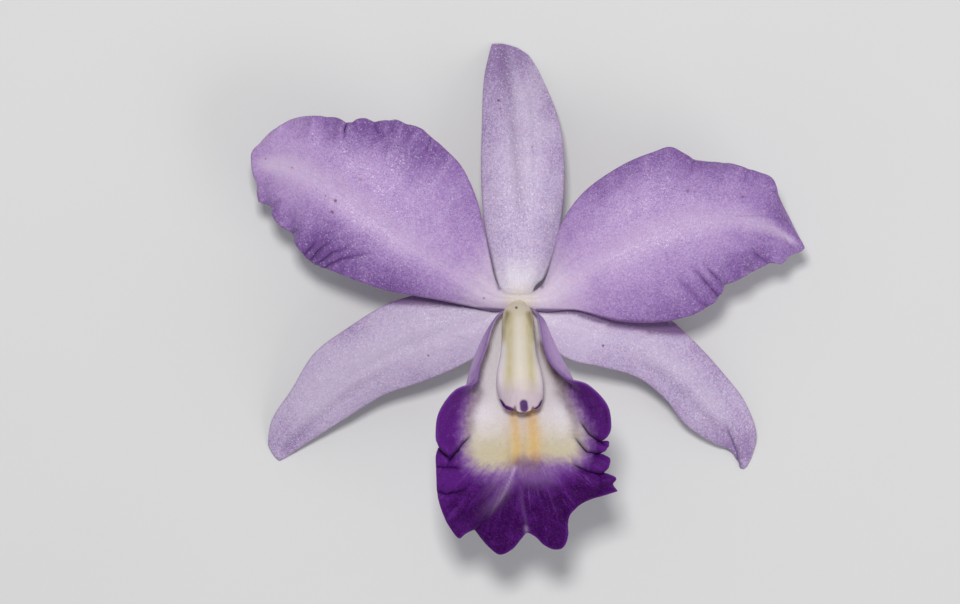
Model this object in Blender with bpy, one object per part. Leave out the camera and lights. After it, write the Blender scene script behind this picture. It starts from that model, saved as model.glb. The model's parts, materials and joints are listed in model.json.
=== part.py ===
"""One cattleya orchid bloom, as picked, lying face up on the tips of its three sepals.

Lengths are in millimetres until a mesh is made. Every shape is drawn in the flower's own frame: x to the
right of a viewer who looks at its face, y towards the dorsal sepal, z out of the face, and the origin at
the heart, where all the parts meet. HEART carries that frame to the part's frame, which stands on z = 0.
"""

import math
from dataclasses import dataclass

import bmesh
import bpy
import numpy as np
from mathutils import Vector

MM = 0.001

# The heart of the flower in the part's frame
HEART = (-1.5, -0.4, 18.0)

# Blades are thicker at the claw, and the petals' claws lie on those of the sepals
BLADE_THICKNESS = 0.8
CLAW_THICKNESS = 1.4
CLAW_SHARE = 0.14
SEPAL_LEVEL = -2.85
PETAL_LEVEL = -0.8

# Each sepal's tip is pressed flat against the surface, with its middle this high above it
TIP_LEVEL = 0.25 - HEART[2]

# The anther cap is a small bowl over the pollinia, on the end of the column
CAP_WIDTH = 3.6
CAP_HEIGHT = 3.0
CAP_DEPTH = 2.1
CAP_WALL = 0.6
CAP_GAP = 0.3
POLLINIA_WIDTH = 1.4
POLLINIA_RADIUS = 0.38
POLLINIA_COUNT = 4


def slope_through(knots, values):
    """Slopes of a smooth curve through the values, for one Hermite piece between each two knots."""
    step = np.diff(knots)[:, None]
    rise = np.diff(values, axis=0) / step
    inner = (rise[:-1] * step[1:] + rise[1:] * step[:-1]) / (step[:-1] + step[1:])
    return np.vstack([rise[:1], inner, rise[-1:]])


def read_curve(knots, values, at):
    """The smooth curve through the values at the knots, read at each number in at."""
    knots = np.asarray(knots, float)
    values = np.asarray(values, float).reshape(len(knots), -1)
    slopes = slope_through(knots, values)
    at = np.clip(np.atleast_1d(np.asarray(at, float)), knots[0], knots[-1])
    piece = np.clip(np.searchsorted(knots, at, side="right") - 1, 0, len(knots) - 2)
    length = (knots[piece + 1] - knots[piece])[:, None]
    part = ((at - knots[piece])[:, None]) / length
    square, cube = part**2, part**3
    return (
        (2 * cube - 3 * square + 1) * values[piece]
        + (cube - 2 * square + part) * length * slopes[piece]
        + (3 * square - 2 * cube) * values[piece + 1]
        + (cube - square) * length * slopes[piece + 1]
    )


def along(points, at):
    """Points on the smooth line through the given points, at shares from 0 to 1 of its length."""
    points = np.asarray(points, float)
    reach = np.concatenate([[0], np.cumsum(np.linalg.norm(np.diff(points, axis=0), axis=1))])
    return read_curve(reach / reach[-1], points, at)


def ease(value, start, end):
    """A smooth step from 0 at start to 1 at end."""
    share = np.clip((value - start) / (end - start), 0, 1)
    return share * share * (3 - 2 * share)


@dataclass
class Blade:
    """A sepal or a petal, drawn as it is seen face on, from its claw to its tip.

    left and right are its edges as seen from the heart, and lie is the height of its midrib as pairs of
    (share of the length, height). arch is how far the edges fall behind the midrib, groove how deep the
    channel along the midrib is, and ruffle how high the waves of each margin stand.
    """

    left: list
    midrib: list
    right: list
    lie: list
    arch: float
    groove: float = 0.4
    ruffle: float = 0.0
    waves: tuple = (0.0, 0.0)
    rows: int = 26
    columns: int = 8


DORSAL_SEPAL = Blade(
    left=[(-2.3, 2), (-4.3, 4.2), (-6.5, 9.5), (-7.7, 18.6), (-8.1, 27.5), (-7.9, 37), (-7.4, 47.5), (-5.8, 53.2)],
    midrib=[(0, 1.7), (0.3, 14), (0.6, 28), (-0.4, 42), (-2.6, 53.8)],
    right=[(2.3, 1.9), (4.6, 4.5), (7.2, 10), (8.9, 19.5), (9.3, 27.5), (8.1, 37.9), (5.2, 46.2), (1, 52.4)],
    lie=[(0, SEPAL_LEVEL), (0.15, -2.3), (0.4, -2.7), (0.65, -5.6), (0.84, -11.8), (0.95, -17.4), (1, TIP_LEVEL)],
    arch=1.5,
)

LEFT_PETAL = Blade(
    left=[
        (-1.9, -0.9), (-4.9, -2.2), (-9.5, -1.4), (-18.7, 0.4), (-28.8, 2.3),
        (-38.8, 5.9), (-45.3, 9), (-48.6, 14.6), (-51.6, 17.3), (-53.9, 19.8),
    ],
    midrib=[(-1.8, 0.3), (-4.6, 0.5), (-14.7, 6.3), (-24.7, 12.4), (-32.8, 18.4), (-40.8, 24.4), (-48, 27.6), (-56.3, 28.2)],
    right=[
        (-0.9, 1.7), (-3.7, 1.6), (-5.1, 3.6), (-6.2, 8.2), (-7.5, 14.6), (-9.3, 21.6), (-12.9, 28.6),
        (-18, 34.1), (-26, 37.5), (-37, 37.8), (-47.5, 38.1), (-52.9, 34.8), (-55.6, 31.4),
    ],
    lie=[(0, PETAL_LEVEL), (0.12, 0.4), (0.35, 2.7), (0.6, 2.9), (0.82, 0.6), (1, -4)],
    arch=2.2,
    ruffle=1.0,
    waves=(5.5, 7.5),
    rows=44,
    columns=12,
)

RIGHT_PETAL = Blade(
    left=[
        (0.9, 1.7), (3.6, 1.6), (5.7, 3.4), (6.7, 8), (8.3, 15.1), (12.2, 21.3), (19.6, 27.2), (27.5, 30.8),
        (32.2, 31.8), (37, 29.8), (45.5, 28.4), (52.6, 26), (55.3, 19.8), (59.2, 12.5),
    ],
    midrib=[(1.8, 0.3), (4.6, 0.5), (9, 3.4), (17, 8.5), (30, 14.5), (42, 17.7), (52, 16), (59.4, 11.4)],
    right=[
        (1.9, -0.9), (4.9, -2.2), (11.4, -2), (20.7, -4.4), (29.5, -4.6),
        (38.2, -2), (43, 2.3), (48.5, 5.5), (53.3, 7.2), (58.7, 10.5),
    ],
    lie=[(0, PETAL_LEVEL), (0.12, 0.4), (0.35, 2.4), (0.6, 2.7), (0.82, 1), (1, -4.5)],
    arch=2.4,
    ruffle=0.9,
    waves=(6.0, 5.5),
    rows=44,
    columns=12,
)

LEFT_SEPAL = Blade(
    left=[
        (-0.4, -2.9), (-3.5, -6.2), (-8, -11), (-13.3, -14.1), (-20.5, -17.1),
        (-28.5, -19.9), (-36.8, -24.9), (-44, -29.5), (-50, -34),
    ],
    midrib=[(-1.6, -0.9), (-12, -6), (-24, -9.5), (-35, -15.5), (-45, -24), (-51.8, -33.6)],
    right=[
        (-2.7, 1), (-7, 1.2), (-13, 1.4), (-20, 1.4), (-27, -0.5),
        (-36.1, -5.8), (-43.3, -11.2), (-48.2, -18.9), (-52.6, -26.3), (-53.2, -31.6),
    ],
    lie=[(0, SEPAL_LEVEL), (0.15, -2.7), (0.4, -4.3), (0.65, -7.8), (0.84, -13.2), (0.95, -17.4), (1, TIP_LEVEL)],
    arch=1.4,
)

RIGHT_SEPAL = Blade(
    left=[
        (2.7, 1), (7, 0.8), (14, 0.2), (22, -0.6), (29.5, -2.6),
        (35.5, -7.6), (42.8, -15.3), (47.9, -22), (50.3, -29.5), (49.5, -33.6),
    ],
    midrib=[(1.6, -0.9), (12, -5.5), (24, -8.3), (33, -13.5), (40, -21), (45.5, -28.5), (48.5, -35.4)],
    right=[
        (0.4, -2.9), (4, -7.5), (10.1, -12.3), (17.5, -14.1), (24.7, -16.2),
        (30.6, -20.7), (35, -26.2), (41, -30.2), (45.6, -32.7), (47.1, -35.2),
    ],
    lie=[(0, SEPAL_LEVEL), (0.15, -2.7), (0.4, -4.3), (0.65, -8), (0.84, -13.4), (0.95, -17.4), (1, TIP_LEVEL)],
    arch=1.4,
)


@dataclass
class LipStation:
    """One cross-section of the lip: its keel as (y, z), its walls where they are farthest out as (x, z), its rims."""

    keel: tuple
    left_wall: tuple
    left_rim: tuple
    right_wall: tuple
    right_rim: tuple


# The claw, the tube round the column, the two side lobes, the folds behind them and the broad middle lobe
LIP = [
    LipStation((-1.9, -0.95), (-1.6, -0.85), (-2.4, -1.85, -0.2), (1.6, -0.85), (2.4, -1.85, -0.2)),
    LipStation((-3.5, -0.85), (-2.9, -0.2), (-3, -2.7, 1.1), (2.9, -0.2), (3, -2.7, 1.1)),
    LipStation((-5.5, -0.2), (-4.9, 1.6), (-3.8, -3.1, 4.6), (4.8, 1.6), (3.7, -3.1, 4.6)),
    LipStation((-8.2, 1), (-7.4, 4.1), (-5, -5, 8.6), (7, 4.1), (4.1, -4.9, 8.6)),
    LipStation((-12, 3.4), (-9.6, 7.3), (-6.6, -9.6, 12.8), (9.2, 7.3), (5.1, -9, 12.8)),
    LipStation((-16, 6.4), (-10.7, 10.7), (-8, -13.6, 16.6), (10.9, 10.7), (7, -13, 16.8)),
    LipStation((-19.6, 9.3), (-11, 13.2), (-9.4, -17, 19.2), (11.2, 13.2), (9.6, -16.2, 19.2)),
    LipStation((-22.8, 11.9), (-11.8, 14.8), (-13.6, -18.8, 20.2), (12.1, 14.8), (13.9, -17.6, 20.2)),
    LipStation((-25.4, 13.7), (-12.6, 15.6), (-16.8, -23.2, 20.2), (13.2, 15.6), (17.8, -21.6, 20.2)),
    LipStation((-27.6, 15), (-12.8, 16.2), (-17.3, -28.2, 20), (13.6, 16.2), (18.5, -26.6, 20)),
    LipStation((-29.6, 16), (-12.4, 16.7), (-14.9, -31.2, 19.2), (13.2, 16.7), (16.9, -29.6, 19.2)),
    LipStation((-31.4, 16.8), (-11.8, 16.9), (-14.4, -32, 16.8), (12.6, 17), (15.3, -30.8, 16.8)),
    LipStation((-33.3, 17.4), (-12.4, 16.9), (-17.2, -33.6, 15.2), (13, 17.1), (17.7, -32.1, 15.4)),
    LipStation((-36.6, 17.9), (-13, 16.9), (-17.4, -37, 15), (13.8, 17.3), (18.8, -34.6, 16.6)),
    LipStation((-40.4, 17.4), (-12.6, 16), (-16.9, -42.6, 13.4), (14.2, 16.8), (19.6, -37.4, 16.4)),
    LipStation((-44, 15.8), (-10.4, 14), (-13.9, -48.3, 11), (13.6, 15.4), (20.2, -39.7, 14.8)),
]
LIP_THICKNESS = 0.7
LIP_ROWS = 42
LIP_COLUMNS = 30
WALL_LOW = 0.33
WALL_FAR = 0.66
WALL_CLIMB = 0.42
WALL_OPENING = 0.27
LIP_RUFFLE = 0.7
LIP_WAVES = 8.0
KEEL_RIDGE = 0.5

# The notched edge of the middle lobe, from its left corner to its right one, and where it starts to take shape
LIP_END = [
    (-13.9, -48.3), (-12.6, -49.6), (-11.3, -48.5), (-9.5, -48), (-7.9, -49.7), (-6.4, -51.5), (-4.3, -53),
    (-1.5, -51.7), (0.4, -49.4), (1.3, -48.4), (3, -49.1), (4.9, -50.9), (7.1, -51.9), (8.6, -51.7),
    (9.8, -49.7), (9.7, -47.3), (10.2, -44.9), (11.7, -42.9), (14.6, -41.4), (18, -40.4), (20.2, -39.7),
]
LIP_END_SHARE = 0.76
LIP_END_DROP = 0.45

# The column's line as (y, z), and its cross-sections: share of length, half width, depth in front and behind
COLUMN_LINE = [(-1.7, 0.35), (-2.3, 3), (-4.6, 7), (-8.8, 10.9), (-13.4, 13.8), (-18, 15.7), (-22.2, 16.7)]
COLUMN_STATIONS = [
    (0.00, 1.7, 1.4, 2.5),
    (0.10, 2.1, 1.7, 2.2),
    (0.25, 3.0, 2.2, 2.1),
    (0.45, 3.6, 2.5, 2.2),
    (0.70, 4.3, 2.7, 2.4),
    (0.86, 4.9, 2.7, 2.6),
    (0.95, 4.7, 2.5, 2.5),
    (1.00, 4.2, 2.3, 2.3),
]
COLUMN_RINGS = (0, 0.06, 0.14, 0.25, 0.37, 0.5, 0.62, 0.73, 0.82, 0.89, 0.95, 1)
COLUMN_SIDES = 28
COLUMN_EARS = 1.0
COLUMN_TOOTH = 0.7
COLUMN_RIM = 0.22
COLUMN_RECESS = 1.3
STIGMA_DEPTH = 0.9
FOOT_RADIUS = 1.2

# The line of the ovary and pedicel as (x, y, z), its radius along its length, and the flange it opens into
PEDICEL_LINE = [
    (0, 0, -4.9), (0, -0.6, -7.8), (0.1, -4, -11.7), (0.3, -10, -13.9),
    (0.6, -22, -14.8), (1.2, -33, -15.4), (2, -43, -15.5),
]
PEDICEL_RADIUS = [(0, 2.6), (0.06, 1.9), (0.2, 2.1), (0.42, 2.2), (0.6, 1.75), (0.8, 1.5), (0.95, 1.55), (1, 1.75)]
PEDICEL_ROWS = 24
PEDICEL_SIDES = 24
OVARY_RIBS = 6
RIB_HEIGHT = 0.16
FLANGE_RADIUS = 4.2
FLANGE_TOP = -4.05
FLANGE_RIM = 0.6

COLOURS = {
    "sepal": ((0.60, 0.47, 0.72), 0.55),
    "petal": ((0.45, 0.28, 0.62), 0.55),
    "lip": ((0.20, 0.05, 0.36), 0.45),
    "column": ((0.82, 0.76, 0.62), 0.4),
    "anther": ((0.75, 0.66, 0.76), 0.4),
    "pollen": ((0.85, 0.68, 0.20), 0.5),
    "stalk": ((0.42, 0.45, 0.25), 0.5),
}


def clear_scene():
    for thing in list(bpy.data.objects):
        bpy.data.objects.remove(thing)


def material(name):
    """The plain material of that name, made once."""
    if name in bpy.data.materials:
        return bpy.data.materials[name]
    colour, roughness = COLOURS[name]
    made = bpy.data.materials.new(name)
    made.use_nodes = True
    shader = made.node_tree.nodes["Principled BSDF"]
    shader.inputs["Base Color"].default_value = (*colour, 1)
    shader.inputs["Roughness"].default_value = roughness
    return made


def place(bm, name, finish):
    """Turns a bmesh in the flower's frame into an object whose origin is at the heart."""
    for vert in bm.verts:
        vert.co *= MM
    mesh = bpy.data.meshes.new(name)
    bm.to_mesh(mesh)
    bm.free()
    mesh.shade_smooth()
    mesh.materials.append(material(finish))
    made = bpy.data.objects.new(name, mesh)
    made.location = Vector(HEART) * MM
    bpy.context.scene.collection.objects.link(made)
    return made


def sheet(rows, columns, row_at):
    """A triangulated grid: row_at gives the points across it, at (shares from -1 to 1, share of its length)."""
    bm = bmesh.new()
    across = np.linspace(-1, 1, columns + 1)
    lines = [[bm.verts.new(point) for point in row_at(across, i / rows)] for i in range(rows + 1)]
    for low, high in zip(lines, lines[1:]):
        for i in range(columns):
            bm.faces.new((low[i], low[i + 1], high[i + 1]))
            bm.faces.new((low[i], high[i + 1], high[i]))
    return bm


def thicken(made, thickness, group=""):
    solidify = made.modifiers.new("flesh", "SOLIDIFY")
    solidify.thickness = thickness * MM
    solidify.offset = 0
    solidify.vertex_group = group


def blade_row(blade):
    """A function that gives one row of the middle surface of a sepal or petal."""
    lie_at, lie_height = zip(*blade.lie)

    def row_at(across, share):
        left, right, rib = (along(line, share)[0] for line in (blade.left, blade.right, blade.midrib))
        u = across[:, None]
        flat = rib + (right - left) / 2 * u + ((left + right) / 2 - rib) * u**2
        fullness = math.sqrt(max(4 * share * (1 - share), 0))
        height = read_curve(lie_at, lie_height, share)[0, 0] - blade.arch * fullness * np.abs(across) ** 2.4
        height -= blade.groove * fullness * np.exp(-((across / 0.16) ** 2))
        turns = np.where(across < 0, blade.waves[0], blade.waves[1])
        swing = np.sin(2 * math.pi * (turns * share + 0.3 * math.sin(5 * math.pi * share)))
        rise = blade.ruffle * ease(share, 0.25, 0.6) * (1 - ease(share, 0.9, 1))
        height += rise * np.abs(across) ** 3 * swing
        return np.column_stack([flat, np.maximum(height, TIP_LEVEL)])

    return row_at


def add_blade(name, blade, finish):
    """A sepal or petal: a waved sheet, thickened from its middle, and thicker at the claw."""
    made = place(sheet(blade.rows, blade.columns, blade_row(blade)), name, finish)
    thin = BLADE_THICKNESS / CLAW_THICKNESS
    flesh = made.vertex_groups.new(name="flesh")
    for index in range(len(made.data.vertices)):
        share = (index // (blade.columns + 1)) / blade.rows
        flesh.add([index], thin + (1 - thin) * float(1 - ease(share, 0, CLAW_SHARE)), "REPLACE")
    thicken(made, CLAW_THICKNESS, flesh.name)
    return made


def add_sepal(name, blade):
    """A sepal whose tip is pressed flat against the surface, which leaves it a small spot to rest on."""
    sepal = add_blade(name, blade, "sepal")
    solid = bpy.data.meshes.new_from_object(sepal.evaluated_get(bpy.context.evaluated_depsgraph_get()))
    sepal.modifiers.clear()
    sepal.data = solid
    for vert in solid.vertices:
        vert.co.z = max(vert.co.z, -HEART[2] * MM)


def lip_section(across, share):
    """A curve from rim to rim: down the left wall, over the keel and up the right wall."""
    knots = np.linspace(0, 1, len(LIP))
    keel = np.array([0, *read_curve(knots, [station.keel for station in LIP], share)[0]])
    climb = WALL_CLIMB - WALL_OPENING * ease(share, 0.5, 0.66)

    def half(walls, rims):
        wall_x, wall_z = read_curve(knots, walls, share)[0]
        rim = read_curve(knots, rims, share)[0]
        low = (0.56 * wall_x, keel[1] + 0.2 * climb * (rim[1] - keel[1]), keel[2] + 0.2 * (wall_z - keel[2]))
        wall = (wall_x, keel[1] + climb * (rim[1] - keel[1]), wall_z)
        return low, wall, rim

    left = half([station.left_wall for station in LIP], [station.left_rim for station in LIP])
    right = half([station.right_wall for station in LIP], [station.right_rim for station in LIP])
    return read_curve((-1, -WALL_FAR, -WALL_LOW, 0, WALL_LOW, WALL_FAR, 1), (*left[::-1], keel, *right), across)


def lip_row(across, share):
    """One row of the lip, with its share of the lobed end, the waves of its margin and the ridges on its keel."""
    row = lip_section(across, share)
    end = along(LIP_END, (across + 1) / 2)
    pull = max(share - LIP_END_SHARE, 0) ** 2 / (1 - LIP_END_SHARE) ** 2 * (end - lip_section(across, 1)[:, :2])
    row[:, :2] += pull
    row[:, 2] += LIP_END_DROP * np.minimum(pull[:, 1], 0)
    swing = LIP_RUFFLE * np.abs(across) ** 4 * ease(share, 0.4, 0.55)
    row[:, 2] += swing * np.sin(2 * math.pi * LIP_WAVES * share + np.sign(across))
    ridge = np.exp(-(((np.abs(across) - 0.08) / 0.045) ** 2))
    row[:, 2] += KEEL_RIDGE * ridge * ease(share, 0.1, 0.3) * (1 - ease(share, 0.6, 0.8))
    return row


def add_lip():
    made = place(sheet(LIP_ROWS, LIP_COLUMNS, lip_row), "lip", "lip")
    thicken(made, LIP_THICKNESS)
    return made


def turn_angles(count):
    return np.arange(count) * 2 * math.pi / count


def loft(rings):
    """A tube through rings of points, closed at both ends."""
    bm = bmesh.new()
    loops = [[bm.verts.new(point) for point in ring] for ring in rings]
    for low, high in zip(loops, loops[1:]):
        count = len(low)
        for i in range(count):
            j = (i + 1) % count
            bm.faces.new((low[i], low[j], high[j], high[i]))
    bm.faces.new(reversed(loops[0]))
    bm.faces.new(loops[-1])
    bmesh.ops.recalc_face_normals(bm, faces=bm.faces[:])
    bmesh.ops.triangulate(bm, faces=bm.faces[:])
    return bm


def column_frame(share):
    """A point of the column's line, the way it runs there and the way its back faces."""
    centre = np.array([0, *along(COLUMN_LINE, share)[0]])
    ahead = along(COLUMN_LINE, [max(share - 0.02, 0), min(share + 0.02, 1)])
    way = np.array([0, *(ahead[1] - ahead[0])])
    way /= np.linalg.norm(way)
    return centre, way, np.array([0, way[2], -way[1]])


def column_ring(share):
    """One ring round the column: a rounded back, a front hollowed by the stigma, and ears at the very end."""
    angle = turn_angles(COLUMN_SIDES)
    table = np.array(COLUMN_STATIONS)
    width, front, behind = read_curve(table[:, 0], table[:, 1:], share)[0]
    centre, way, back = column_frame(share)
    depth = np.where(np.sin(angle) > 0, behind, front) * np.sin(angle)
    depth += STIGMA_DEPTH * math.exp(-(((share - 0.84) / 0.07) ** 2)) * np.clip(-np.sin(angle), 0, 1) ** 4
    ears = COLUMN_EARS * np.cos(angle) ** 2 * (np.sin(angle) > -0.5)
    tooth = COLUMN_TOOTH * np.clip(np.sin(angle), 0, 1) ** 12
    reach = (ears + tooth) * ease(share, 0.9, 1)
    return centre + np.outer(width * np.cos(angle), (1, 0, 0)) + np.outer(depth, back) + np.outer(reach, way)


def add_column():
    """The foot that stands on the ovary inside the claws, the column, and the recess for the anther cap."""
    angle = turn_angles(COLUMN_SIDES)
    foot = FOOT_RADIUS * np.column_stack([np.cos(angle), np.sin(angle)])
    rings = [np.column_stack([foot, np.full(COLUMN_SIDES, z)]) for z in (FLANGE_TOP + CAP_GAP, -1.6, -0.2)]
    rings += [column_ring(share) for share in COLUMN_RINGS]
    centre, way, _ = column_frame(1)
    rings.append(centre + (rings[-1] - centre) * (1 - COLUMN_RIM))
    flat = rings[-1] - np.outer((rings[-1] - centre) @ way, way)
    rings.append(flat - COLUMN_RECESS * way)
    return place(loft(rings), "column", "column")


def spun(profile, steps):
    """A solid of revolution about z, from a profile of (radius, height) that starts and ends on the axis."""
    bm = bmesh.new()
    verts = [bm.verts.new((radius, 0, height)) for radius, height in profile]
    edges = [bm.edges.new(pair) for pair in zip(verts, verts[1:])]
    bmesh.ops.spin(
        bm, geom=verts + edges, axis=(0, 0, 1), cent=(0, 0, 0), angle=2 * math.pi, steps=steps, use_merge=True
    )
    bmesh.ops.remove_doubles(bm, verts=bm.verts[:], dist=1e-4)
    bmesh.ops.recalc_face_normals(bm, faces=bm.faces[:])
    bmesh.ops.triangulate(bm, faces=bm.faces[:])
    return bm


def set_on_column(bm, size, beyond):
    """Stretches a small solid to size (across, towards the back, along the column) and sets it in the recess."""
    centre, way, back = column_frame(1)
    centre = centre + way * (beyond - COLUMN_RECESS)
    for vert in bm.verts:
        x, y, z = vert.co
        vert.co = centre + x * size[0] * np.array([1, 0, 0]) + y * size[1] * back + z * size[2] * way


def add_anther_cap():
    """A thin bowl turned over the pollinia, with its mouth in the column's recess."""
    outer = [(math.sin(a), math.cos(a)) for a in np.linspace(0, math.pi / 2, 8)]
    inner_radius = 1 - 2 * CAP_WALL / CAP_HEIGHT
    inner_height = 1 - CAP_WALL / CAP_DEPTH
    inner = [(inner_radius * math.sin(a), inner_height * math.cos(a)) for a in np.linspace(math.pi / 2, 0, 6)]
    bm = spun(outer + inner, 20)
    set_on_column(bm, (CAP_WIDTH / 2, CAP_HEIGHT / 2, CAP_DEPTH), CAP_GAP)
    return place(bm, "anther_cap", "anther")


def add_pollinia():
    """Four small pollen masses joined side by side, lying across the column under the cap."""
    share = np.linspace(0, math.pi, 4 * POLLINIA_COUNT + 1)
    place_along = -np.cos(share)
    grooves = 1 - 0.3 * np.cos(math.pi * POLLINIA_COUNT * (place_along + 1) / 2) ** 2
    profile = [(float(r), float(h)) for r, h in zip(np.sin(share) ** 0.6 * grooves, place_along)]
    profile[0], profile[-1] = (0, -1), (0, 1)
    bm = spun(profile, 12)
    for vert in bm.verts:
        x, y, z = vert.co
        vert.co = (z, y, x)
    bmesh.ops.reverse_faces(bm, faces=bm.faces[:])
    set_on_column(bm, (POLLINIA_WIDTH / 2, POLLINIA_RADIUS, POLLINIA_RADIUS), CAP_GAP + POLLINIA_RADIUS)
    return place(bm, "pollinia", "pollen")


def add_pedicel():
    """The six-ribbed ovary and its stalk, with the flange that carries the flower and a clean cut at the end."""
    angle = turn_angles(PEDICEL_SIDES)
    circle = np.column_stack([np.cos(angle), np.sin(angle)])
    flange = [(FLANGE_RADIUS - FLANGE_RIM, FLANGE_TOP), (FLANGE_RADIUS, FLANGE_TOP - FLANGE_RIM / 2)]
    rings = [np.column_stack([radius * circle, np.full(PEDICEL_SIDES, z)]) for radius, z in flange]
    share = np.linspace(0, 1, PEDICEL_ROWS)
    centres = along(PEDICEL_LINE, share)
    heading = np.gradient(centres, axis=0)
    heading /= np.linalg.norm(heading, axis=1)[:, None]
    radii = read_curve(*zip(*PEDICEL_RADIUS), share)[:, 0]
    side = np.array([1.0, 0, 0])
    for centre, way, radius, part in zip(centres, heading, radii, share):
        over = np.cross(side, way)
        over /= np.linalg.norm(over)
        ribs = RIB_HEIGHT * np.cos(OVARY_RIBS * angle) * ease(part, 0.04, 0.15) * (1 - ease(part, 0.5, 0.75))
        size = (radius + ribs)[:, None]
        rings.append(centre + size * (circle[:, :1] * side + circle[:, 1:] * over))
    return place(loft(rings), "pedicel", "stalk")


def build():
    clear_scene()
    add_sepal("dorsal_sepal", DORSAL_SEPAL)
    add_sepal("left_lateral_sepal", LEFT_SEPAL)
    add_sepal("right_lateral_sepal", RIGHT_SEPAL)
    add_blade("left_petal", LEFT_PETAL, "petal")
    add_blade("right_petal", RIGHT_PETAL, "petal")
    add_lip()
    add_column()
    add_anther_cap()
    add_pollinia()
    add_pedicel()


build()
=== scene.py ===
# %% [markdown]
# # A cattleya bloom, lying face up
#
# A cattleya bloom has three narrow sepals behind and two broad petals before them. The third petal is
# the lip, a frilled trumpet round the column, which is the flower's stamen and style grown into one.
# This lesson takes the solid model of the bloom as a fixed frame, and gives each organ its fine shape
# and its living surface. It starts with the frame, because every piece made later has to stay inside
# its box.

# %% Load the frame
import json
import math
from dataclasses import dataclass, field

import bmesh
import bpy
import numpy as np
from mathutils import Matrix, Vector
from mathutils.kdtree import KDTree
from mathutils.noise import noise

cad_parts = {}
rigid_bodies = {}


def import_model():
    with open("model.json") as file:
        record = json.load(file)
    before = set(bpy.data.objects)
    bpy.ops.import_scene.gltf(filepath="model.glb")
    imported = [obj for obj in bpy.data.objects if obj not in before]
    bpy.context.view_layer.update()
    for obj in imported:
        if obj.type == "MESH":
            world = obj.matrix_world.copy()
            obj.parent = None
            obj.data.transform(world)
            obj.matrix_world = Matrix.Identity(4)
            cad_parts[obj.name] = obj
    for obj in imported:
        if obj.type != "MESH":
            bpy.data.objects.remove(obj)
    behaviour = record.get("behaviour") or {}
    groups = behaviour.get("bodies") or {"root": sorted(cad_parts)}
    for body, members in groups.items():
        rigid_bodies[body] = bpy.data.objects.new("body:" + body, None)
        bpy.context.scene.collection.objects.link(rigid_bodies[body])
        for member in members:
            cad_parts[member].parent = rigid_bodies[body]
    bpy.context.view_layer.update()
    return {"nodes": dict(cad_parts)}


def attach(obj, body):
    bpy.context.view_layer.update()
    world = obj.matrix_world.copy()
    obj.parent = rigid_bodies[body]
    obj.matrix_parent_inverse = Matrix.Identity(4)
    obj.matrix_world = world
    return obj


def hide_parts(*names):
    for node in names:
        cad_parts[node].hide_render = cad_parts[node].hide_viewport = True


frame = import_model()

print("organs in the frame:", ", ".join(sorted(frame["nodes"])))

# %% [markdown]
# Petals are drawn as they are seen face on, in millimetres from the heart of the flower, where all
# its organs meet: x to the right, y towards the upper sepal and z out of the face. A drawing has only
# a few points, so a smooth curve is led through them. Blender's own curves could do that too, but a
# formula gives the point at any share of the length, and a petal's two margins and its midrib are
# read side by side.

# %% The heart and the smooth curve
MM = 0.001
HEART = np.array([-1.5, -0.4, 18.0])


def read_curve(knots, values, at):
    """The smooth curve through the values at the knots, read at each number in at."""
    knots = np.asarray(knots, float)
    values = np.asarray(values, float).reshape(len(knots), -1)
    step = np.diff(knots)[:, None]
    rise = np.diff(values, axis=0) / step
    inner = (rise[:-1] * step[1:] + rise[1:] * step[:-1]) / (step[:-1] + step[1:])
    slopes = np.vstack([rise[:1], inner, rise[-1:]])
    at = np.clip(np.atleast_1d(np.asarray(at, float)), knots[0], knots[-1])
    piece = np.clip(np.searchsorted(knots, at, side="right") - 1, 0, len(knots) - 2)
    part = (at - knots[piece])[:, None] / step[piece]
    square, cube = part**2, part**3
    return (
        (2 * cube - 3 * square + 1) * values[piece]
        + (cube - 2 * square + part) * step[piece] * slopes[piece]
        + (3 * square - 2 * cube) * values[piece + 1]
        + (cube - square) * step[piece] * slopes[piece + 1]
    )


def along(points, at):
    """Points on the smooth line through the given points, at shares from 0 to 1 of its length."""
    points = np.asarray(points, float)
    reach = np.concatenate([[0], np.cumsum(np.linalg.norm(np.diff(points, axis=0), axis=1))])
    return read_curve(reach / reach[-1], points, at)


def ease(value, start, end):
    """A smooth step from 0 at start to 1 at end."""
    share = np.clip((np.asarray(value, float) - start) / (end - start), 0, 1)
    return share * share * (3 - 2 * share)


print("half way along a bent line:", along([(0, 0), (2, 1), (4, 0)], 0.5)[0])

# %% [markdown]
# The living margin is never plain. It has crimps, pleats and creases, each of them a line that runs
# in from the margin and fades. They could be pushed in with a sculpting brush. Here each is a short
# line drawn with a depth, so that its place is known, and so that the same line can also darken the
# finish with painted shade where no light reaches the bottom of the fold.

# %% Folds that are drawn as lines
@dataclass
class Fold:
    """A crease from inside to the margin: a groove this deep, and a step up on its left this high."""

    line: list
    depth: float = 0.0
    step: float = 0.0
    width: float = 0.5
    reach: float = 2.5
    # dark: how much painted shade is laid along the groove
    dark: float = 0.0
    notch: float = 0.0


def near_line(points, line):
    """Signed distance to a line, above 0 on its left, and the share of the line that is nearest."""
    line = np.asarray(line, float)
    parts = np.linalg.norm(np.diff(line, axis=0), axis=1)
    starts = np.concatenate([[0], np.cumsum(parts)])
    best, side, share = np.full(len(points), 1e9), np.zeros(len(points)), np.zeros(len(points))
    for a, b, length, start in zip(line, line[1:], parts, starts):
        way = (b - a) / length
        across = points - a
        reach = np.clip(across @ way, 0, length)
        away = np.linalg.norm(across - reach[:, None] * way, axis=1)
        nearer = away < best
        best[nearer] = away[nearer]
        side[nearer] = np.sign(way[0] * across[:, 1] - way[1] * across[:, 0])[nearer]
        share[nearer] = ((start + reach) / starts[-1])[nearer]
    return best * np.where(side < 0, -1, 1), share


FOLD_GROWS = 0.45
SHADE_GROWS = 0.3
SHADE_WIDTH = 0.6


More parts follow.
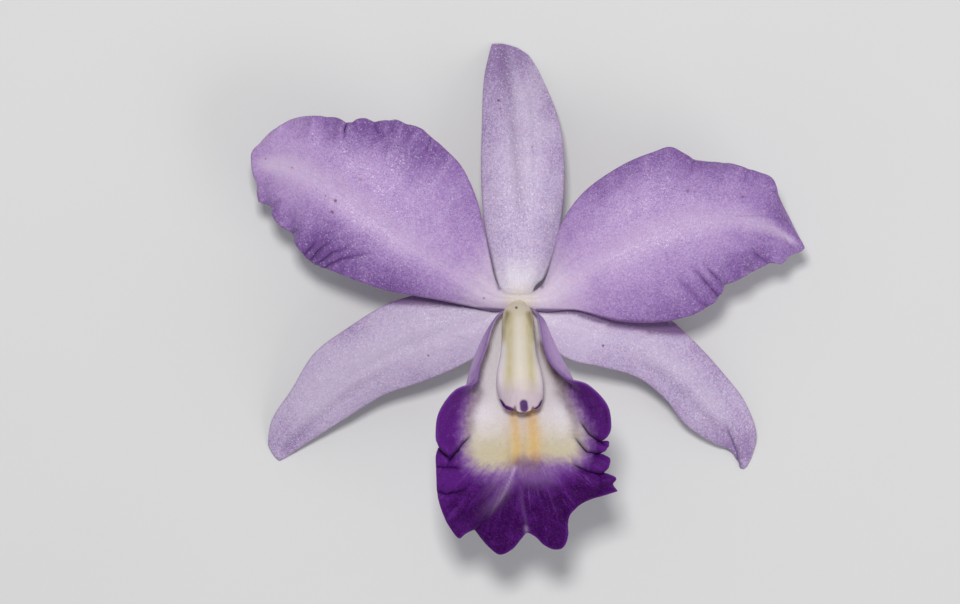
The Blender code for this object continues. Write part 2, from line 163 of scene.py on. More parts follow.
def fold(points, folds):
    """The points of a sheet with its folds pressed in, and how much painted shade each point gets in
    them.
    """
    flat = points[:, :2].copy()
    dark = np.zeros(len(points))
    for one in folds:
        away, share = near_line(flat, one.line)
        strength = ease(share, 0, FOLD_GROWS)
        groove = np.exp(-((away / one.width) ** 2)) * strength
        beside = np.tanh(away / (0.5 * one.width)) * np.exp(-np.abs(away) / one.reach) * strength
        points[:, 2] += 0.5 * one.step * beside - one.depth * groove
        shade = np.exp(-((away / (SHADE_WIDTH * one.width)) ** 2)) * ease(share, 0, SHADE_GROWS)
        dark = np.maximum(dark, one.dark * shade)
        inner, outer = np.array(one.line[-2], float), np.array(one.line[-1], float)
        pull = one.notch * np.exp(-(((flat - outer) ** 2).sum(axis=1)) / (2 * one.width) ** 2)
        points[:, :2] += pull[:, None] * (inner - outer) / np.linalg.norm(inner - outer)
    return points, dark


@dataclass
class Stroke:
    """A line of colour with soft sides, this wide and this strong, which fades along its way."""

    line: list
    width: float
    strength: float
    fade: float = 0.0


def paint(points, strokes):
    """How much colour the strokes leave on each point, from 0 to 1."""
    left_there = np.zeros(len(points))
    for stroke in strokes:
        away, share = near_line(points[:, :2], stroke.line)
        strength = stroke.strength * (1 - stroke.fade * share)
        left_there = np.maximum(left_there, strength * np.exp(-((away / stroke.width) ** 2)))
    return left_there


print("a groove at its middle:", fold(np.zeros((1, 3)), [Fold([(-2, 0), (1, 0), (2, 0)], 0.4)])[0])

# %% [markdown]
# A petal is a sheet with flesh in it. A grid is added as a primitive, its points are laid out row by
# row from the claw to the tip, and a Solidify modifier gives it two faces. A real margin isn't square
# but rounded and thinner than the rest, so the flesh is told to thin out over the last half
# millimetre. What the finish has to know of each point is written beside it: whether it is on the
# face or the back, how far it is from the margin, how much painted shade lies on it in a crease, and
# how much painted shade an organ above throws on it.

# %% Sheets of living flesh
ROUND_OFF = 0.5
THIN_SHARE = 0.25
THICKNESS_STEPS = 250
COLUMNS_CROWD = 0.25
ROWS_CROWD = 1.15


def new_sheet(name, rows, columns, row_at):
    """A grid, and its points in millimetres, laid row by row where row_at puts them.

    Columns stand closer towards the margins, and rows towards the tip.
    """
    bpy.ops.object.select_all(action="DESELECT")
    bpy.ops.mesh.primitive_grid_add(x_subdivisions=columns, y_subdivisions=rows, size=2)
    sheet = bpy.context.object
    sheet.name = name
    sheet.data.name = name
    across = np.linspace(-1, 1, columns + 1)
    across *= 1 + COLUMNS_CROWD - COLUMNS_CROWD * across**2
    shares = 1 - (1 - np.linspace(0, 1, rows + 1)) ** ROWS_CROWD
    return sheet, np.vstack([row_at(across, share) for share in shares])


def margin_distance(points, rows, columns):
    """How far each point of a sheet is from its margin, leaving out its claw."""
    grid = points.reshape(rows + 1, columns + 1, 3)
    margin = np.vstack([grid[:, 0], grid[:, -1], grid[-1]])
    tree = KDTree(len(margin))
    for index, point in enumerate(margin):
        tree.insert(Vector(point), index)
    tree.balance()
    return np.array([tree.find(Vector(point))[2] for point in points])


def lay(sheet, points):
    """Moves the points of a mesh to these places, and turns its faces up if they look down."""
    sheet.data.vertices.foreach_set("co", ((points + HEART) * MM).astype(np.float32).ravel())
    sheet.data.update()
    if sum(face.normal.z * face.area for face in sheet.data.polygons) < 0:
        bpy.ops.object.mode_set(mode="EDIT")
        bpy.ops.mesh.select_all(action="SELECT")
        bpy.ops.mesh.flip_normals()
        bpy.ops.object.mode_set(mode="OBJECT")


def modify(piece, kind, **settings):
    """Adds a modifier of this kind with these settings, applies it and shades the piece smooth."""
    bpy.ops.object.modifier_add(type=kind)
    modifier = piece.modifiers[-1]
    for name, value in settings.items():
        setattr(modifier, name, value)
    bpy.ops.object.modifier_apply(modifier=modifier.name)
    bpy.ops.object.shade_smooth()


def thicken(sheet, full, rim):
    """Gives a sheet its flesh, this thick in millimetres, and thinner and rounded off at its rim."""
    rounded = np.sqrt(ease(rim, -ROUND_OFF / 4, ROUND_OFF))
    thickness = full * (THIN_SHARE + (1 - THIN_SHARE) * rounded)
    most = float(thickness.max())
    flesh = sheet.vertex_groups.new(name="flesh")
    levels = np.round(thickness / most * THICKNESS_STEPS).astype(int)
    for level in np.unique(levels):
        flesh.add(np.flatnonzero(levels == level).tolist(), float(level) / THICKNESS_STEPS, "REPLACE")
    modify(sheet, "SOLIDIFY", thickness=most * MM, offset=0, vertex_group=flesh.name)


def write_mark(piece, name, values):
    """Writes a number beside each point of a piece, under a name that its finish can read."""
    written = piece.data.attributes.new(name, "FLOAT", "POINT")
    written.data.foreach_set("value", values.astype(np.float32))


def mark(sheet, **marks):
    """Writes marks on a sheet, the same on face and back, and which of the two a point is on."""
    half = len(sheet.data.vertices) // 2
    for name, values in marks.items():
        write_mark(sheet, name, np.concatenate([values, values]))
    write_mark(sheet, "front", np.repeat([1.0, 0.0], half))


def settle(piece, node):
    """Hands a finished piece to the frame, in place of the plain solid of that name."""
    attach(piece, "root")
    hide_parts(node)
    sides = " x ".join(f"{side / MM:.1f}" for side in piece.dimensions)
    print(piece.name, "is", sides, "mm,", len(piece.data.polygons), "faces")


def bumps(points, per_mm, seed):
    """A smooth random number from -1 to 1 for each point, with about per_mm bumps a millimetre."""
    return np.array([noise(Vector(point) * per_mm + Vector((seed, 0, 0))) for point in points])


def uneven(points, scales, seed):
    """The rise and fall of a grown surface: each scale has a height, bumps a millimetre and a seed."""
    return sum(height * bumps(points, per_mm, seed + more) for height, per_mm, more in scales)


# %% [markdown]
# Sepals and petals share one way of drawing: two margins, a midrib between them, and the height of
# the midrib along the way. Across it the blade falls away at the sides, is grooved along the middle
# and waves at its margins. Every blade is fleshier at its claw, where it is carried. The tips of the
# three sepals carry the flower on the surface, so whatever would reach below it is pressed flat.

# %% Blades from margins and midrib
SEPAL_LEVEL = -2.85
PETAL_LEVEL = -0.8
TIP_LEVEL = 0.25 - HEART[2]
BLADE_THICKNESS = 0.8
CLAW_THICKNESS = 1.4
CLAW_SHARE = 0.14
ARCH_POWER = 2.4
GROOVE_WIDTH = 0.16
RUFFLE_POWER = 3
FRILL_POWER = 7
FRILL_TURNS = 2.7
BLADE_BUMPS = ((0.16, 0.16, 0), (0.05, 0.5, 7))


@dataclass
class Blade:
    """A sepal or petal, from claw to tip.

    Left and right are seen from the heart. The lie is how high the midrib is at shares of the way. A
    flush is a deeper spot as (x, y, radius, strength), and a stroke of painted shade lies where an
    organ above shades the blade.
    """

    left: list
    midrib: list
    right: list
    lie: list
    arch: float
    groove: float = 0.4
    ruffle: float = 0.0
    waves: tuple = (0.0, 0.0)
    frill: float = 0.0
    folds: list = field(default_factory=list)
    flushes: list = field(default_factory=list)
    # strokes of painted shade, where an organ lying above shades this blade
    edges: list = field(default_factory=list)
    rows: int = 200
    columns: int = 64


def blade_row(blade):
    """A function that gives one row of the middle surface of a blade."""
    lie_at, lie_height = zip(*blade.lie)

    def row_at(across, share):
        """The points of one row, at shares from -1 to 1 across."""
        left, right, rib = (along(line, share)[0] for line in (blade.left, blade.right, blade.midrib))
        u = across[:, None]
        flat = rib + (right - left) / 2 * u + ((left + right) / 2 - rib) * u**2
        fullness = math.sqrt(max(4 * share * (1 - share), 0))
        height = read_curve(lie_at, lie_height, share)[0, 0]
        height = height - blade.arch * fullness * np.abs(across) ** ARCH_POWER
        height -= blade.groove * fullness * np.exp(-((across / GROOVE_WIDTH) ** 2))
        turns = np.where(across < 0, blade.waves[0], blade.waves[1])
        swing = np.sin(2 * math.pi * (turns * share + 0.3 * math.sin(5 * math.pi * share)))
        reach = ease(share, 0.25, 0.6) * (1 - ease(share, 0.9, 1))
        height += blade.ruffle * reach * np.abs(across) ** RUFFLE_POWER * swing
        drift = 0.8 * math.sin(9 * share) + np.sign(across)
        quick = np.sin(2 * math.pi * (FRILL_TURNS * turns * share + drift))
        height += blade.frill * reach * np.abs(across) ** FRILL_POWER * quick
        return np.column_stack([flat, height])

    return row_at


def flush_of(points, flushes):
    """How much deeper the colour of each point is, from flushes with soft rims."""
    amount = np.zeros(len(points))
    for x, y, radius, strength in flushes:
        amount += strength * np.exp(-((points[:, 0] - x) ** 2 + (points[:, 1] - y) ** 2) / radius**2)
    return amount


def model_blade(name, blade, seed):
    """A blade with its waves, its folds and the fine unevenness of a grown surface."""
    sheet, points = new_sheet(name, blade.rows, blade.columns, blade_row(blade))
    rim = margin_distance(points, blade.rows, blade.columns)
    points, dark = fold(points, blade.folds)
    away = ease(np.linalg.norm(points[:, :2], axis=1), 4, 14)
    points[:, 2] += away * uneven(points, BLADE_BUMPS, seed)
    points[:, 2] = np.maximum(points[:, 2], TIP_LEVEL)
    lay(sheet, points)
    share = np.repeat(np.linspace(0, 1, blade.rows + 1), blade.columns + 1)
    full = BLADE_THICKNESS + (CLAW_THICKNESS - BLADE_THICKNESS) * (1 - ease(share, 0, CLAW_SHARE))
    thicken(sheet, full, rim)
    flush = flush_of(points, blade.flushes)
    # The crease and stroke marks carry painted shade: in the folds, and where an organ above shades
    # this blade.
    mark(sheet, rim=rim, crease=dark, flush=flush, painted_shade=paint(points, blade.edges))
    for vert in sheet.data.vertices:
        vert.co.z = max(vert.co.z, 0)
    return sheet


def grow(blades, seed):
    """Models blades, each in place of the solid that it is named for."""
    grown = []
    for number, (node, blade) in enumerate(blades.items()):
        grown.append(model_blade(node + "_flesh", blade, seed + number))
        settle(grown[-1], node)
    return grown


print("a tip rests", TIP_LEVEL + HEART[2], "mm above the surface at its middle")

# %% [markdown]
# The two petals are the flower's show. They are broad blades on narrow claws, with margins that crimp
# where they grew against the bud. The left one has a fan of four fine creases at its lower margin,
# and the right one ends in a point with a notch before it.

# %% The petals
LEFT_PETAL = Blade(
    left=[
        (0.4, -1.2), (-4.9, -2.2), (-9.5, -1.4), (-18.7, 0.4), (-28.8, 2.3), (-38.8, 5.9),
        (-44.3, 8.3), (-46.2, 10.4), (-47.6, 12.6), (-48.6, 14.4), (-50.6, 15.6), (-51.9, 17.4),
        (-52.9, 19.6), (-54.9, 20.6),
    ],
    midrib=[
        (0.4, 0.3), (-4.6, 0.5), (-14.7, 6.3), (-24.7, 12.4), (-32.8, 18.4), (-40.8, 24.4),
        (-48, 27.8), (-56.6, 29.2),
    ],
    right=[
        (0.4, 0.9), (-3.6, 1.1), (-4.9, 2.8), (-6.2, 8.1), (-7.5, 14.6), (-9.3, 21.6),
        (-12.6, 28.4), (-16.4, 32.3), (-18.9, 34.4), (-20.6, 35.9), (-23.4, 36.9), (-25.8, 37.8),
        (-30, 37.6), (-33, 38.2), (-36.2, 37.7), (-38.8, 38.3), (-43, 38.7), (-47.5, 38.1),
        (-52.9, 34.8), (-55.6, 31.4),
    ],
    lie=[(0, PETAL_LEVEL), (0.12, 0.4), (0.35, 2.7), (0.6, 2.9), (0.82, 0.6), (1, -4)],
    arch=2.2,
    ruffle=1.0,
    waves=(5.5, 7.5),
    frill=0.35,
    folds=[
        Fold([(-42.3, 12.9), (-43.8, 11.1), (-45.8, 9.2)], 0.6, dark=1.0, width=0.4),
        Fold([(-39.2, 12.6), (-41.5, 11.1), (-43, 9.5), (-44.8, 7.8)], 0.7, dark=1.0, width=0.42),
        Fold([(-35.2, 11.3), (-39.5, 9.9), (-41.2, 8.5), (-43.2, 7)], 0.7, dark=1.0, width=0.42),
        Fold([(-31, 10.1), (-37.6, 8.6), (-40, 7.4), (-42.2, 6.2)], 0.6, dark=1.0, width=0.4),
        Fold([(-20, 30.6), (-18.9, 33.2), (-19, 35.4)], 0.6, dark=0.75, width=0.3, notch=0.35),
        Fold([(-36.8, 33.4), (-36.9, 35.4), (-36.3, 38.2)], 0.8, dark=0.6, width=0.4, notch=0.7),
        Fold([(-33.9, 35), (-34.4, 36.2), (-35.3, 37.8)], 0.5, dark=0.3, width=0.4, notch=0.4),
        Fold([(-27.6, 33.8), (-29.8, 35), (-31, 37.9)], 0.7, dark=0.5, width=0.45, notch=0.4),
        Fold([(-23, 33.8), (-23.6, 35.4), (-24.3, 37.4)], 0.45, dark=0.2, notch=0.25),
        Fold([(-26.4, 34.4), (-27, 36), (-27.4, 38)], 0.35, dark=0.15, width=0.4, notch=0.15),
        Fold([(-41.2, 35.4), (-40.9, 37), (-40.7, 38.7)], 0.4, dark=0.15, notch=0.2),
        Fold([(-49.6, 21.6), (-51.2, 20.2), (-53.1, 19.2)], 0.6, dark=0.2, width=0.6, notch=0.5),
        Fold([(-45.6, 15.6), (-46.8, 14.6), (-48.2, 13.5)], 0.6, dark=0.3, notch=0.5),
        Fold([(-47.8, 18.6), (-49.6, 17.4), (-51.4, 16.2)], 0.4, dark=0.1, width=0.6, notch=0.1),
        Fold([(-52, 24.6), (-54, 24.3), (-56.2, 24.1)], 0.4, dark=0.05, width=0.7, notch=0.5),
    ],
    flushes=[
        (-29, 36, 7, 0.5), (-20, 32, 6, 0.5), (-37, 36, 5, 0.45), (-10, 18, 7, 0.22),
        (-43, 9, 7, 0.8), (-30, 5, 8, 0.28), (-53, 31, 9, -0.45), (-14, 3, 6, 0.1),
        (-25, 2, 7, 0.45), (-41, 13, 6, 0.35), (-53.2, 19, 3, 0.6), (-34, 10.5, 5, 0.35),
        (-22, 28, 5, 0.3),
    ],
    # painted shade along both margins of the claw, where they turn away from the light
    edges=[
        Stroke([(-3.6, -1.9), (-9.5, -1.5), (-16, 0), (-24, 1.5)], 0.5, 0.85, 0.6),
        Stroke([(-4.6, 2.2), (-5.9, 6.5), (-7, 12)], 0.6, 0.6, 0.5),
    ],
    rows=240,
    columns=112,
)
RIGHT_PETAL = Blade(
    left=[
        (-0.4, 0.9), (2.9, 1.1), (5.1, 3.2), (6.7, 8), (8.3, 15.1), (12.2, 21.3), (19.6, 27.2),
        (28.4, 31.2), (31.6, 32.1), (34.2, 30.9), (37, 29.5), (44.4, 28.6), (50, 26.9),
        (53.1, 25.5), (54.3, 21.9), (56, 18.4), (58.1, 14.2), (59.4, 11.5),
    ],
    midrib=[
        (-0.4, 0.3), (4.6, 0.5), (9, 3.4), (17, 8.5), (30, 14.5), (42, 17.3), (52, 15.2),
        (59.9, 10.9),
    ],
    right=[
        (-0.4, -1.2), (4.9, -2.2), (11.4, -2), (20.7, -4.4), (30.8, -4.4), (38.6, -2), (41.6, 0.2),
        (43.3, 2.9), (46.2, 4.4), (50.5, 6.8), (52.6, 7.7), (55, 7.6), (56.6, 9.2), (59.2, 10.4),
    ],
    lie=[(0, PETAL_LEVEL), (0.12, 0.4), (0.35, 2.4), (0.6, 2.7), (0.82, 1), (1, -4.5)],
    arch=2.4,
    ruffle=0.9,
    waves=(6.0, 5.5),
    frill=0.3,
    folds=[
        Fold([(48, 10.6), (50.2, 9.2), (52, 8), (53.2, 7.2)], 0.7, dark=0.75, width=0.35, notch=0.45),
        Fold([(35, 8), (37.9, 5), (41.8, 0.4)], 0.9, dark=0.45, width=0.55, notch=0.2),
        Fold([(37.6, 8.6), (40.4, 5.4), (43.4, 2.7)], 0.8, dark=0.5, notch=0.4),
        Fold([(31.6, 5.8), (35, 2.6), (39.2, -1.6)], 0.6, dark=0.3, width=0.55, notch=0.15),
        Fold([(46.4, 8), (47.6, 6.8), (48.9, 5.6)], 0.4, dark=0.15, notch=0.1),
        Fold([(55, 13.6), (56.6, 11.6), (57.8, 9.8)], 0.4, dark=0.25),
        Fold([(35.8, 26), (36, 28), (36.6, 29.8)], 0.5, dark=0.25, width=0.6, notch=0.25),
        Fold([(42, 25.6), (42.4, 27.4), (42.8, 29.1)], 0.35, dark=0.15, notch=0.15),
        Fold([(46.6, 24.6), (47.4, 26.2), (48.2, 27.8)], 0.35, dark=0.15, notch=0.2),
    ],
    flushes=[
        (38, 1, 8, 0.6), (24, -2, 8, 0.25), (48, 9, 6, 0.4), (33, 29, 7, 0.5), (52, 14, 7, 0.25),
        (10, 18, 7, 0.15), (20, 25, 6, 0.25), (55, 22, 7, 0.35), (42, 25, 6, 0.2), (12, 2, 8, -0.3),
    ],
    # painted shade along both margins of the claw, and a thin dark line near the tip
    edges=[
        Stroke([(3.6, -1.9), (11.4, -2.1), (20.7, -4.3), (30, -4.5)], 0.55, 0.85, 0.5),
        Stroke([(4.8, 2.6), (6.2, 6.5), (7.6, 12)], 0.6, 0.6, 0.5),
        Stroke([(45, 17.6), (50, 17.8), (55.5, 16.9), (58.3, 13)], 0.2, 0.4),
    ],
    rows=240,
    columns=112,
)
petals = grow({"left_petal": LEFT_PETAL, "right_petal": RIGHT_PETAL}, 1.0)

# %% [markdown]
# The sepals closed round the bud. They are plainer and narrower than the petals, almost without
# waves, and the lower two droop further. They are modelled in the same way, which keeps the blades
# alike, with a few long soft furrows in place of crimps.

# %% The sepals
DORSAL_SEPAL = Blade(
    left=[
        (-2.6, 0.4), (-4.3, 2.8), (-5.8, 8), (-6.8, 12.5), (-7.7, 18.6), (-8.1, 27.5), (-7.9, 37),
        (-7.4, 47.5), (-5.9, 54.4),
    ],
    midrib=[(0, 0.3), (0.3, 14), (0.6, 28), (-0.4, 42), (-2.2, 54.2)],
    right=[
        (2.4, 0.4), (3.1, 3), (5, 4.7), (6.5, 8), (7.8, 12.5), (8.9, 19.5), (9.3, 27.5),
        (8.2, 37.9), (5.4, 45.4), (3.4, 49.6), (1.7, 52.2),
    ],
    groove=0.15,
    lie=[
        (0, SEPAL_LEVEL), (0.15, -2.3), (0.4, -2.9), (0.62, -5.6), (0.8, -10.4), (0.92, -14.9),
        (1, TIP_LEVEL),
    ],
    arch=1.5,
    folds=[
        Fold([(0.4, 12), (-0.7, 28), (-2, 41), (-3.6, 53)], 0.3, dark=0.3, width=2.0),
        Fold([(2.4, 22), (3, 32), (2, 44)], 0.2, dark=0.1, width=0.8),
    ],
    flushes=[
        (-4, 51, 7, 1.0), (7, 41, 3.5, 0.6), (-3, 40, 6, 0.3), (0, 13, 10, 0.4), (8.5, 30, 3, 0.3),
        (-7.5, 36, 3, 0.3), (2.2, 42, 5, -0.4),
    ],
    # painted shade along both margins near the base, beside the petals' claws
    edges=[
        Stroke([(-4.6, 3.4), (-5.6, 7.5), (-6.4, 12)], 0.5, 0.5, 0.4),
        Stroke([(4.9, 4.6), (6.3, 8), (7.5, 12)], 0.5, 0.5, 0.4),
    ],
)
LEFT_SEPAL = Blade(
    left=[
        (-0.4, -2.9), (-3.5, -6.2), (-8, -11), (-13.3, -14.1), (-20.5, -17.1),
        (-28.5, -19.9), (-36.8, -24.9), (-44, -29.5), (-51, -34.2),
    ],
    midrib=[(-1.6, -0.9), (-12, -6), (-24, -9.5), (-35, -15.5), (-45, -24), (-52.3, -33)],
    right=[
        (-2.7, 1), (-7, 1.2), (-13, 1.4), (-20, 1.4), (-27, -0.5),
        (-36.1, -5.8), (-43.3, -11.2), (-48.2, -18.9), (-52.8, -26.3), (-53.5, -30.8),
    ],
    groove=0.15,
    lie=[
        (0, SEPAL_LEVEL), (0.15, -2.7), (0.4, -4.4), (0.62, -7.6), (0.8, -11.8), (0.92, -15.3),
        (1, TIP_LEVEL),
    ],
    arch=1.4,
    folds=[
        Fold([(-26, -13), (-35, -18.5), (-43, -24.5), (-50, -31)], 0.35, dark=0.17, width=1.5),
        Fold([(-14, -6), (-26, -10.5), (-36, -16)], 0.2, dark=0.05, width=1.2),
    ],
    flushes=[
        (-50, -31, 4, 0.3), (-35.5, -5.5, 3.5, 0.5), (-47, -29, 4, 0.35), (-24, -14, 7, 0.1),
        (-46, -20, 7, -0.2), (-33, -10, 8, -0.2), (-24, -7, 9, -0.2), (-10, -5, 8, -0.25),
    ],
    # painted shadow of the left petal, which lies over this sepal
    edges=[
        Stroke([(-5, -1.8), (-11, -1.1), (-17, -0.5)], 1.0, 0.85),
        Stroke([(-15, -0.4), (-21, 0), (-28, 0.2)], 1.4, 0.9),
    ],
)
RIGHT_SEPAL = Blade(
    left=[
        (2.7, 1), (7, 0.8), (14, 0.2), (22, -0.6), (29.5, -2.6),
        (35.5, -7.6), (42.8, -15.3), (47.9, -22), (50.2, -29.2), (49, -34),
    ],
    midrib=[
        (1.6, -0.9), (12, -5.5), (24, -8.3), (33, -13.5), (40, -21), (45.5, -28.5), (47.9, -35.6),
    ],
    right=[
        (0.4, -2.9), (4, -7.5), (10.1, -12.3), (17.5, -14.1), (24.7, -16.2),
        (30.6, -20.7), (35, -26.2), (41, -30.2), (45.4, -32.2), (47, -35.6),
    ],
    groove=0.15,
    lie=[
        (0, SEPAL_LEVEL), (0.15, -2.7), (0.4, -4.4), (0.62, -7.8), (0.8, -12), (0.92, -15.4),
        (1, TIP_LEVEL),
    ],
    arch=1.4,
    folds=[
        Fold([(22, -11), (30, -15.5), (37, -22), (43, -28)], 0.4, dark=0.2, width=1.5),
        Fold([(43.4, -25.6), (44.8, -28.8), (46.2, -32), (46.9, -34.8)], 0.7, step=0.6, dark=0.75),
    ],
    flushes=[
        (47, -32, 4, 0.5), (42.5, -15, 3, 0.45), (38.5, -10.5, 3, 0.4), (35, -21, 5, 0.25),
        (10, -5, 8, -0.35), (20, -13, 5, 0.2), (45, -30, 6, 0.6),
    ],
    # painted shadow of the right petal, which lies over this sepal
    edges=[
        Stroke([(4, -2.1), (11.1, -2.3), (16.4, -4.1), (22, -4.9)], 0.9, 0.85),
        Stroke([(19, -4.5), (23, -5.1), (27, -5.5), (31, -5.7)], 1.3, 0.9),
        Stroke([(27.5, -5.6), (34, -6)], 1.8, 0.9),
    ],
)
SEPALS = {
    "dorsal_sepal": DORSAL_SEPAL,
    "left_lateral_sepal": LEFT_SEPAL,
    "right_lateral_sepal": RIGHT_SEPAL,
}
sepals = grow(SEPALS, 3.0)

# %% [markdown]
# The lip is the hardest organ to draw, because it is a sheet that is a tube at one end and a frilled
# fan at the other. It is drawn by cross-sections from the claw outwards: where its keel runs, how far
# out its walls stand and where its rims are. The two side lobes end in a fold that overlaps the
# middle lobe, so there the rim runs back under itself before it comes out again.

# %% The cross-sections of the lip
@dataclass
class LipStation:
    """One cross-section: the keel as (y, z), the widest points of the walls as (x, z), the rims."""

    keel: tuple
    left_wall: tuple
    left_rim: tuple
    right_wall: tuple
    right_rim: tuple


LIP = [
    LipStation((-1.9, -0.95), (-1.6, -0.85), (-2.4, -1.85, -0.2), (1.6, -0.85), (2.4, -1.85, -0.2)),
    LipStation((-3.5, -0.85), (-2.9, -0.2), (-2.6, -1.8, 1.7), (2.9, -0.2), (2.4, -1.8, 1.7)),
    LipStation((-5.5, -0.2), (-4.9, 1.6), (-4.4, -3.1, 4.6), (4.8, 1.6), (3.6, -3.1, 4.6)),
    LipStation((-8.2, 1), (-6.8, 4.1), (-5.8, -5.4, 8.6), (5.8, 4.1), (3.9, -4.9, 8.6)),
    LipStation((-12, 3.4), (-8.8, 7.3), (-7.1, -9.8, 12.8), (7.6, 7.3), (4.7, -9, 12.8)),
    LipStation((-16, 6.4), (-10.2, 10.7), (-8.6, -13.8, 16.6), (9.7, 10.7), (6.2, -13, 16.8)),
    LipStation((-19.6, 9.3), (-11, 13.2), (-9.4, -17, 19.2), (11.2, 13.2), (9.6, -16.2, 19.2)),
    LipStation((-22.8, 11.9), (-11.8, 14.8), (-13.6, -18.8, 20.2), (12.1, 14.8), (13.9, -17.6, 20.2)),
    LipStation((-25.2, 13.6), (-12.6, 15.6), (-16.8, -23.2, 20.4), (13.2, 15.6), (17.8, -21.6, 20.4)),
    LipStation((-27.2, 14.8), (-12.8, 16.2), (-17.5, -27.6, 20.4), (13.6, 16.2), (18.7, -26, 20.2)),
    LipStation((-28.8, 15.6), (-12.6, 16.5), (-17, -30.2, 20.2), (13.4, 16.5), (17.9, -28.4, 19.4)),
    LipStation((-30.2, 16.3), (-12, 16.8), (-15.1, -31.9, 19.2), (12.8, 16.7), (16.4, -29.4, 17.6)),
    LipStation((-31.4, 16.8), (-11.7, 16.8), (-13.6, -30.8, 17.2), (13, 17), (18.3, -29.3, 18.4)),
    LipStation((-32.6, 17.2), (-12, 16.9), (-16.6, -30.4, 15.8), (13, 17.1), (17.8, -31, 18)),
    LipStation((-33.8, 17.5), (-12.5, 16.9), (-17.5, -32.2, 15.2), (12.9, 17.1), (16, -31.6, 16.5)),
    LipStation((-35.2, 17.8), (-12.9, 16.9), (-17.5, -34.8, 15.3), (13.5, 17.3), (18.5, -32.8, 17.5)),
    LipStation((-36.6, 17.9), (-13, 16.8), (-17.4, -37.4, 14.8), (13.8, 17.3), (18.3, -34.6, 17)),
    LipStation((-38.2, 17.8), (-12.9, 16.5), (-17.3, -40, 14.4), (13.9, 17.1), (17.4, -35.8, 15.9)),
    LipStation((-40, 17.4), (-12.6, 16), (-16.6, -43, 13.2), (14.2, 16.8), (19.8, -36.9, 16.4)),
    LipStation((-42, 16.7), (-11.8, 15.2), (-15.4, -46, 12.4), (14, 16.2), (19.2, -38.2, 15.2)),
    LipStation((-44, 15.8), (-10.4, 14), (-13.9, -48.3, 11), (13.6, 15.4), (20.2, -39.7, 14.8)),
]
LIP_END = [
    (-13.9, -48.3), (-12.6, -49.6), (-11.3, -48.5), (-9.5, -47.8), (-7.9, -49.7), (-6.4, -51.5),
    (-4.3, -53), (-1.5, -51.7), (0.4, -49.4), (1.3, -48.4), (3, -49.1), (4.9, -50.9), (7.1, -51.9),
    (8.6, -51.7), (9.8, -49.7), (9.7, -47.3), (10.2, -44.9), (11.7, -42.9), (14.6, -41.4),
    (18, -40.4), (20.2, -39.7),
]
LIP_THICKNESS = 0.7
LIP_ROWS = 230
LIP_COLUMNS = 130
WALL_LOW = 0.33
WALL_FAR = 0.66
TUBE_ENDS = 9.0
TUBE_BLEND = 1.5
LOW_OUT = 0.56
LOW_UP = 0.2
WALL_CLIMB = (0.42, 0.15)
END_STARTS = 15.5
LIP_END_DROP = 0.45
KEEL_RIDGE = 0.5
RIDGE_PLACE = 0.08
RIDGE_WIDTH = 0.045
FAN_STARTS = 27
FAN_ENDS = 36
LIP_BUMPS = ((0.25, 0.3, 0), (0.08, 0.9, 1))
print(len(LIP), "cross-sections, and", len(LIP_END), "points along the end of the middle lobe")

# %% [markdown]
# Between the rims each cross-section is one smooth curve, down one wall, over the keel and up the
# other. The last rows are pulled towards the notched end of the middle lobe, and two low ridges run
# along the keel. The pleats of the fan are folds like those of the petals, only larger, and each side
# of them throws a shadow on the other. Painted shade darkens the bottom of each fold as well.

# %% The lip
# The dark of each fold is the painted shade laid along it.
LIP_FOLDS = [
    Fold(
        [(-1, -35.4), (-2.7, -39.3), (-4.5, -42.5), (-8, -46), (-11.2, -48.8)],
        0.2,
        step=-2.2,
        dark=0.25,
        reach=2.6,
    ),
    Fold([(1.2, -38), (1.3, -43), (1.3, -48.6)], 0.5, width=0.9),
    Fold([(-11.5, -35), (-14, -34.8), (-17.8, -34.6)], 0.8, dark=1.0, width=0.6),
    Fold([(-10.6, -39), (-13.3, -39.9), (-15.7, -40.3), (-17.3, -39.7)], 0.8, dark=0.9, width=0.6),
    Fold([(9.6, -33.4), (13.8, -35.4), (16.6, -36.1), (18.6, -35.5)], 1.0, 1.1, width=0.7, dark=1.0),
    Fold([(10.8, -28), (13.8, -31.4), (16.9, -31.8)], 1.0, step=1.3, width=0.7, dark=1.0),
    Fold([(12.2, -24.6), (14.4, -27.8), (17, -29.5)], 0.8, step=1.1, width=0.7, dark=1.0),
    Fold([(-9.8, -27.6), (-12.2, -29.8), (-14.8, -33.2)], 0.9, step=-1.2, width=0.7, dark=1.0),
    Fold([(-14.4, -33.4), (-15.8, -31.6), (-17.8, -29.9)], 0.7, step=-1.0, width=0.6, dark=1.0),
    Fold([(6, -38), (8.4, -42), (9.9, -46.4)], 0.6, dark=0.15, width=1.1),
    Fold([(8, -37), (12, -39.6), (16, -41.2)], 0.4, dark=0.1, width=1.0),
]
KNOTS = np.arange(len(LIP))


def lip_section(across, station):
    """A curve from rim to rim, read at shares from -1 to 1 of the way across."""
    keel = np.array([0, *read_curve(KNOTS, [one.keel for one in LIP], station)[0]])
    opened = ease(station, TUBE_ENDS - TUBE_BLEND, TUBE_ENDS + TUBE_BLEND)
    climb = WALL_CLIMB[0] + (WALL_CLIMB[1] - WALL_CLIMB[0]) * opened

    def half(walls, rims):
        """Three points of one side: low beside the keel, on the wall, and on the rim."""
        wall_x, wall_z = read_curve(KNOTS, walls, station)[0]
        rim = read_curve(KNOTS, rims, station)[0]
        ahead = climb * (rim[1] - keel[1])
        low = (LOW_OUT * wall_x, keel[1] + LOW_UP * ahead, keel[2] + LOW_UP * (wall_z - keel[2]))
        wall = (wall_x, keel[1] + ahead, wall_z)
        return low, wall, rim

    left = half([one.left_wall for one in LIP], [one.left_rim for one in LIP])
    right = half([one.right_wall for one in LIP], [one.right_rim for one in LIP])
    knots = (-1, -WALL_FAR, -WALL_LOW, 0, WALL_LOW, WALL_FAR, 1)
    return read_curve(knots, (*left[::-1], keel, *right), across)


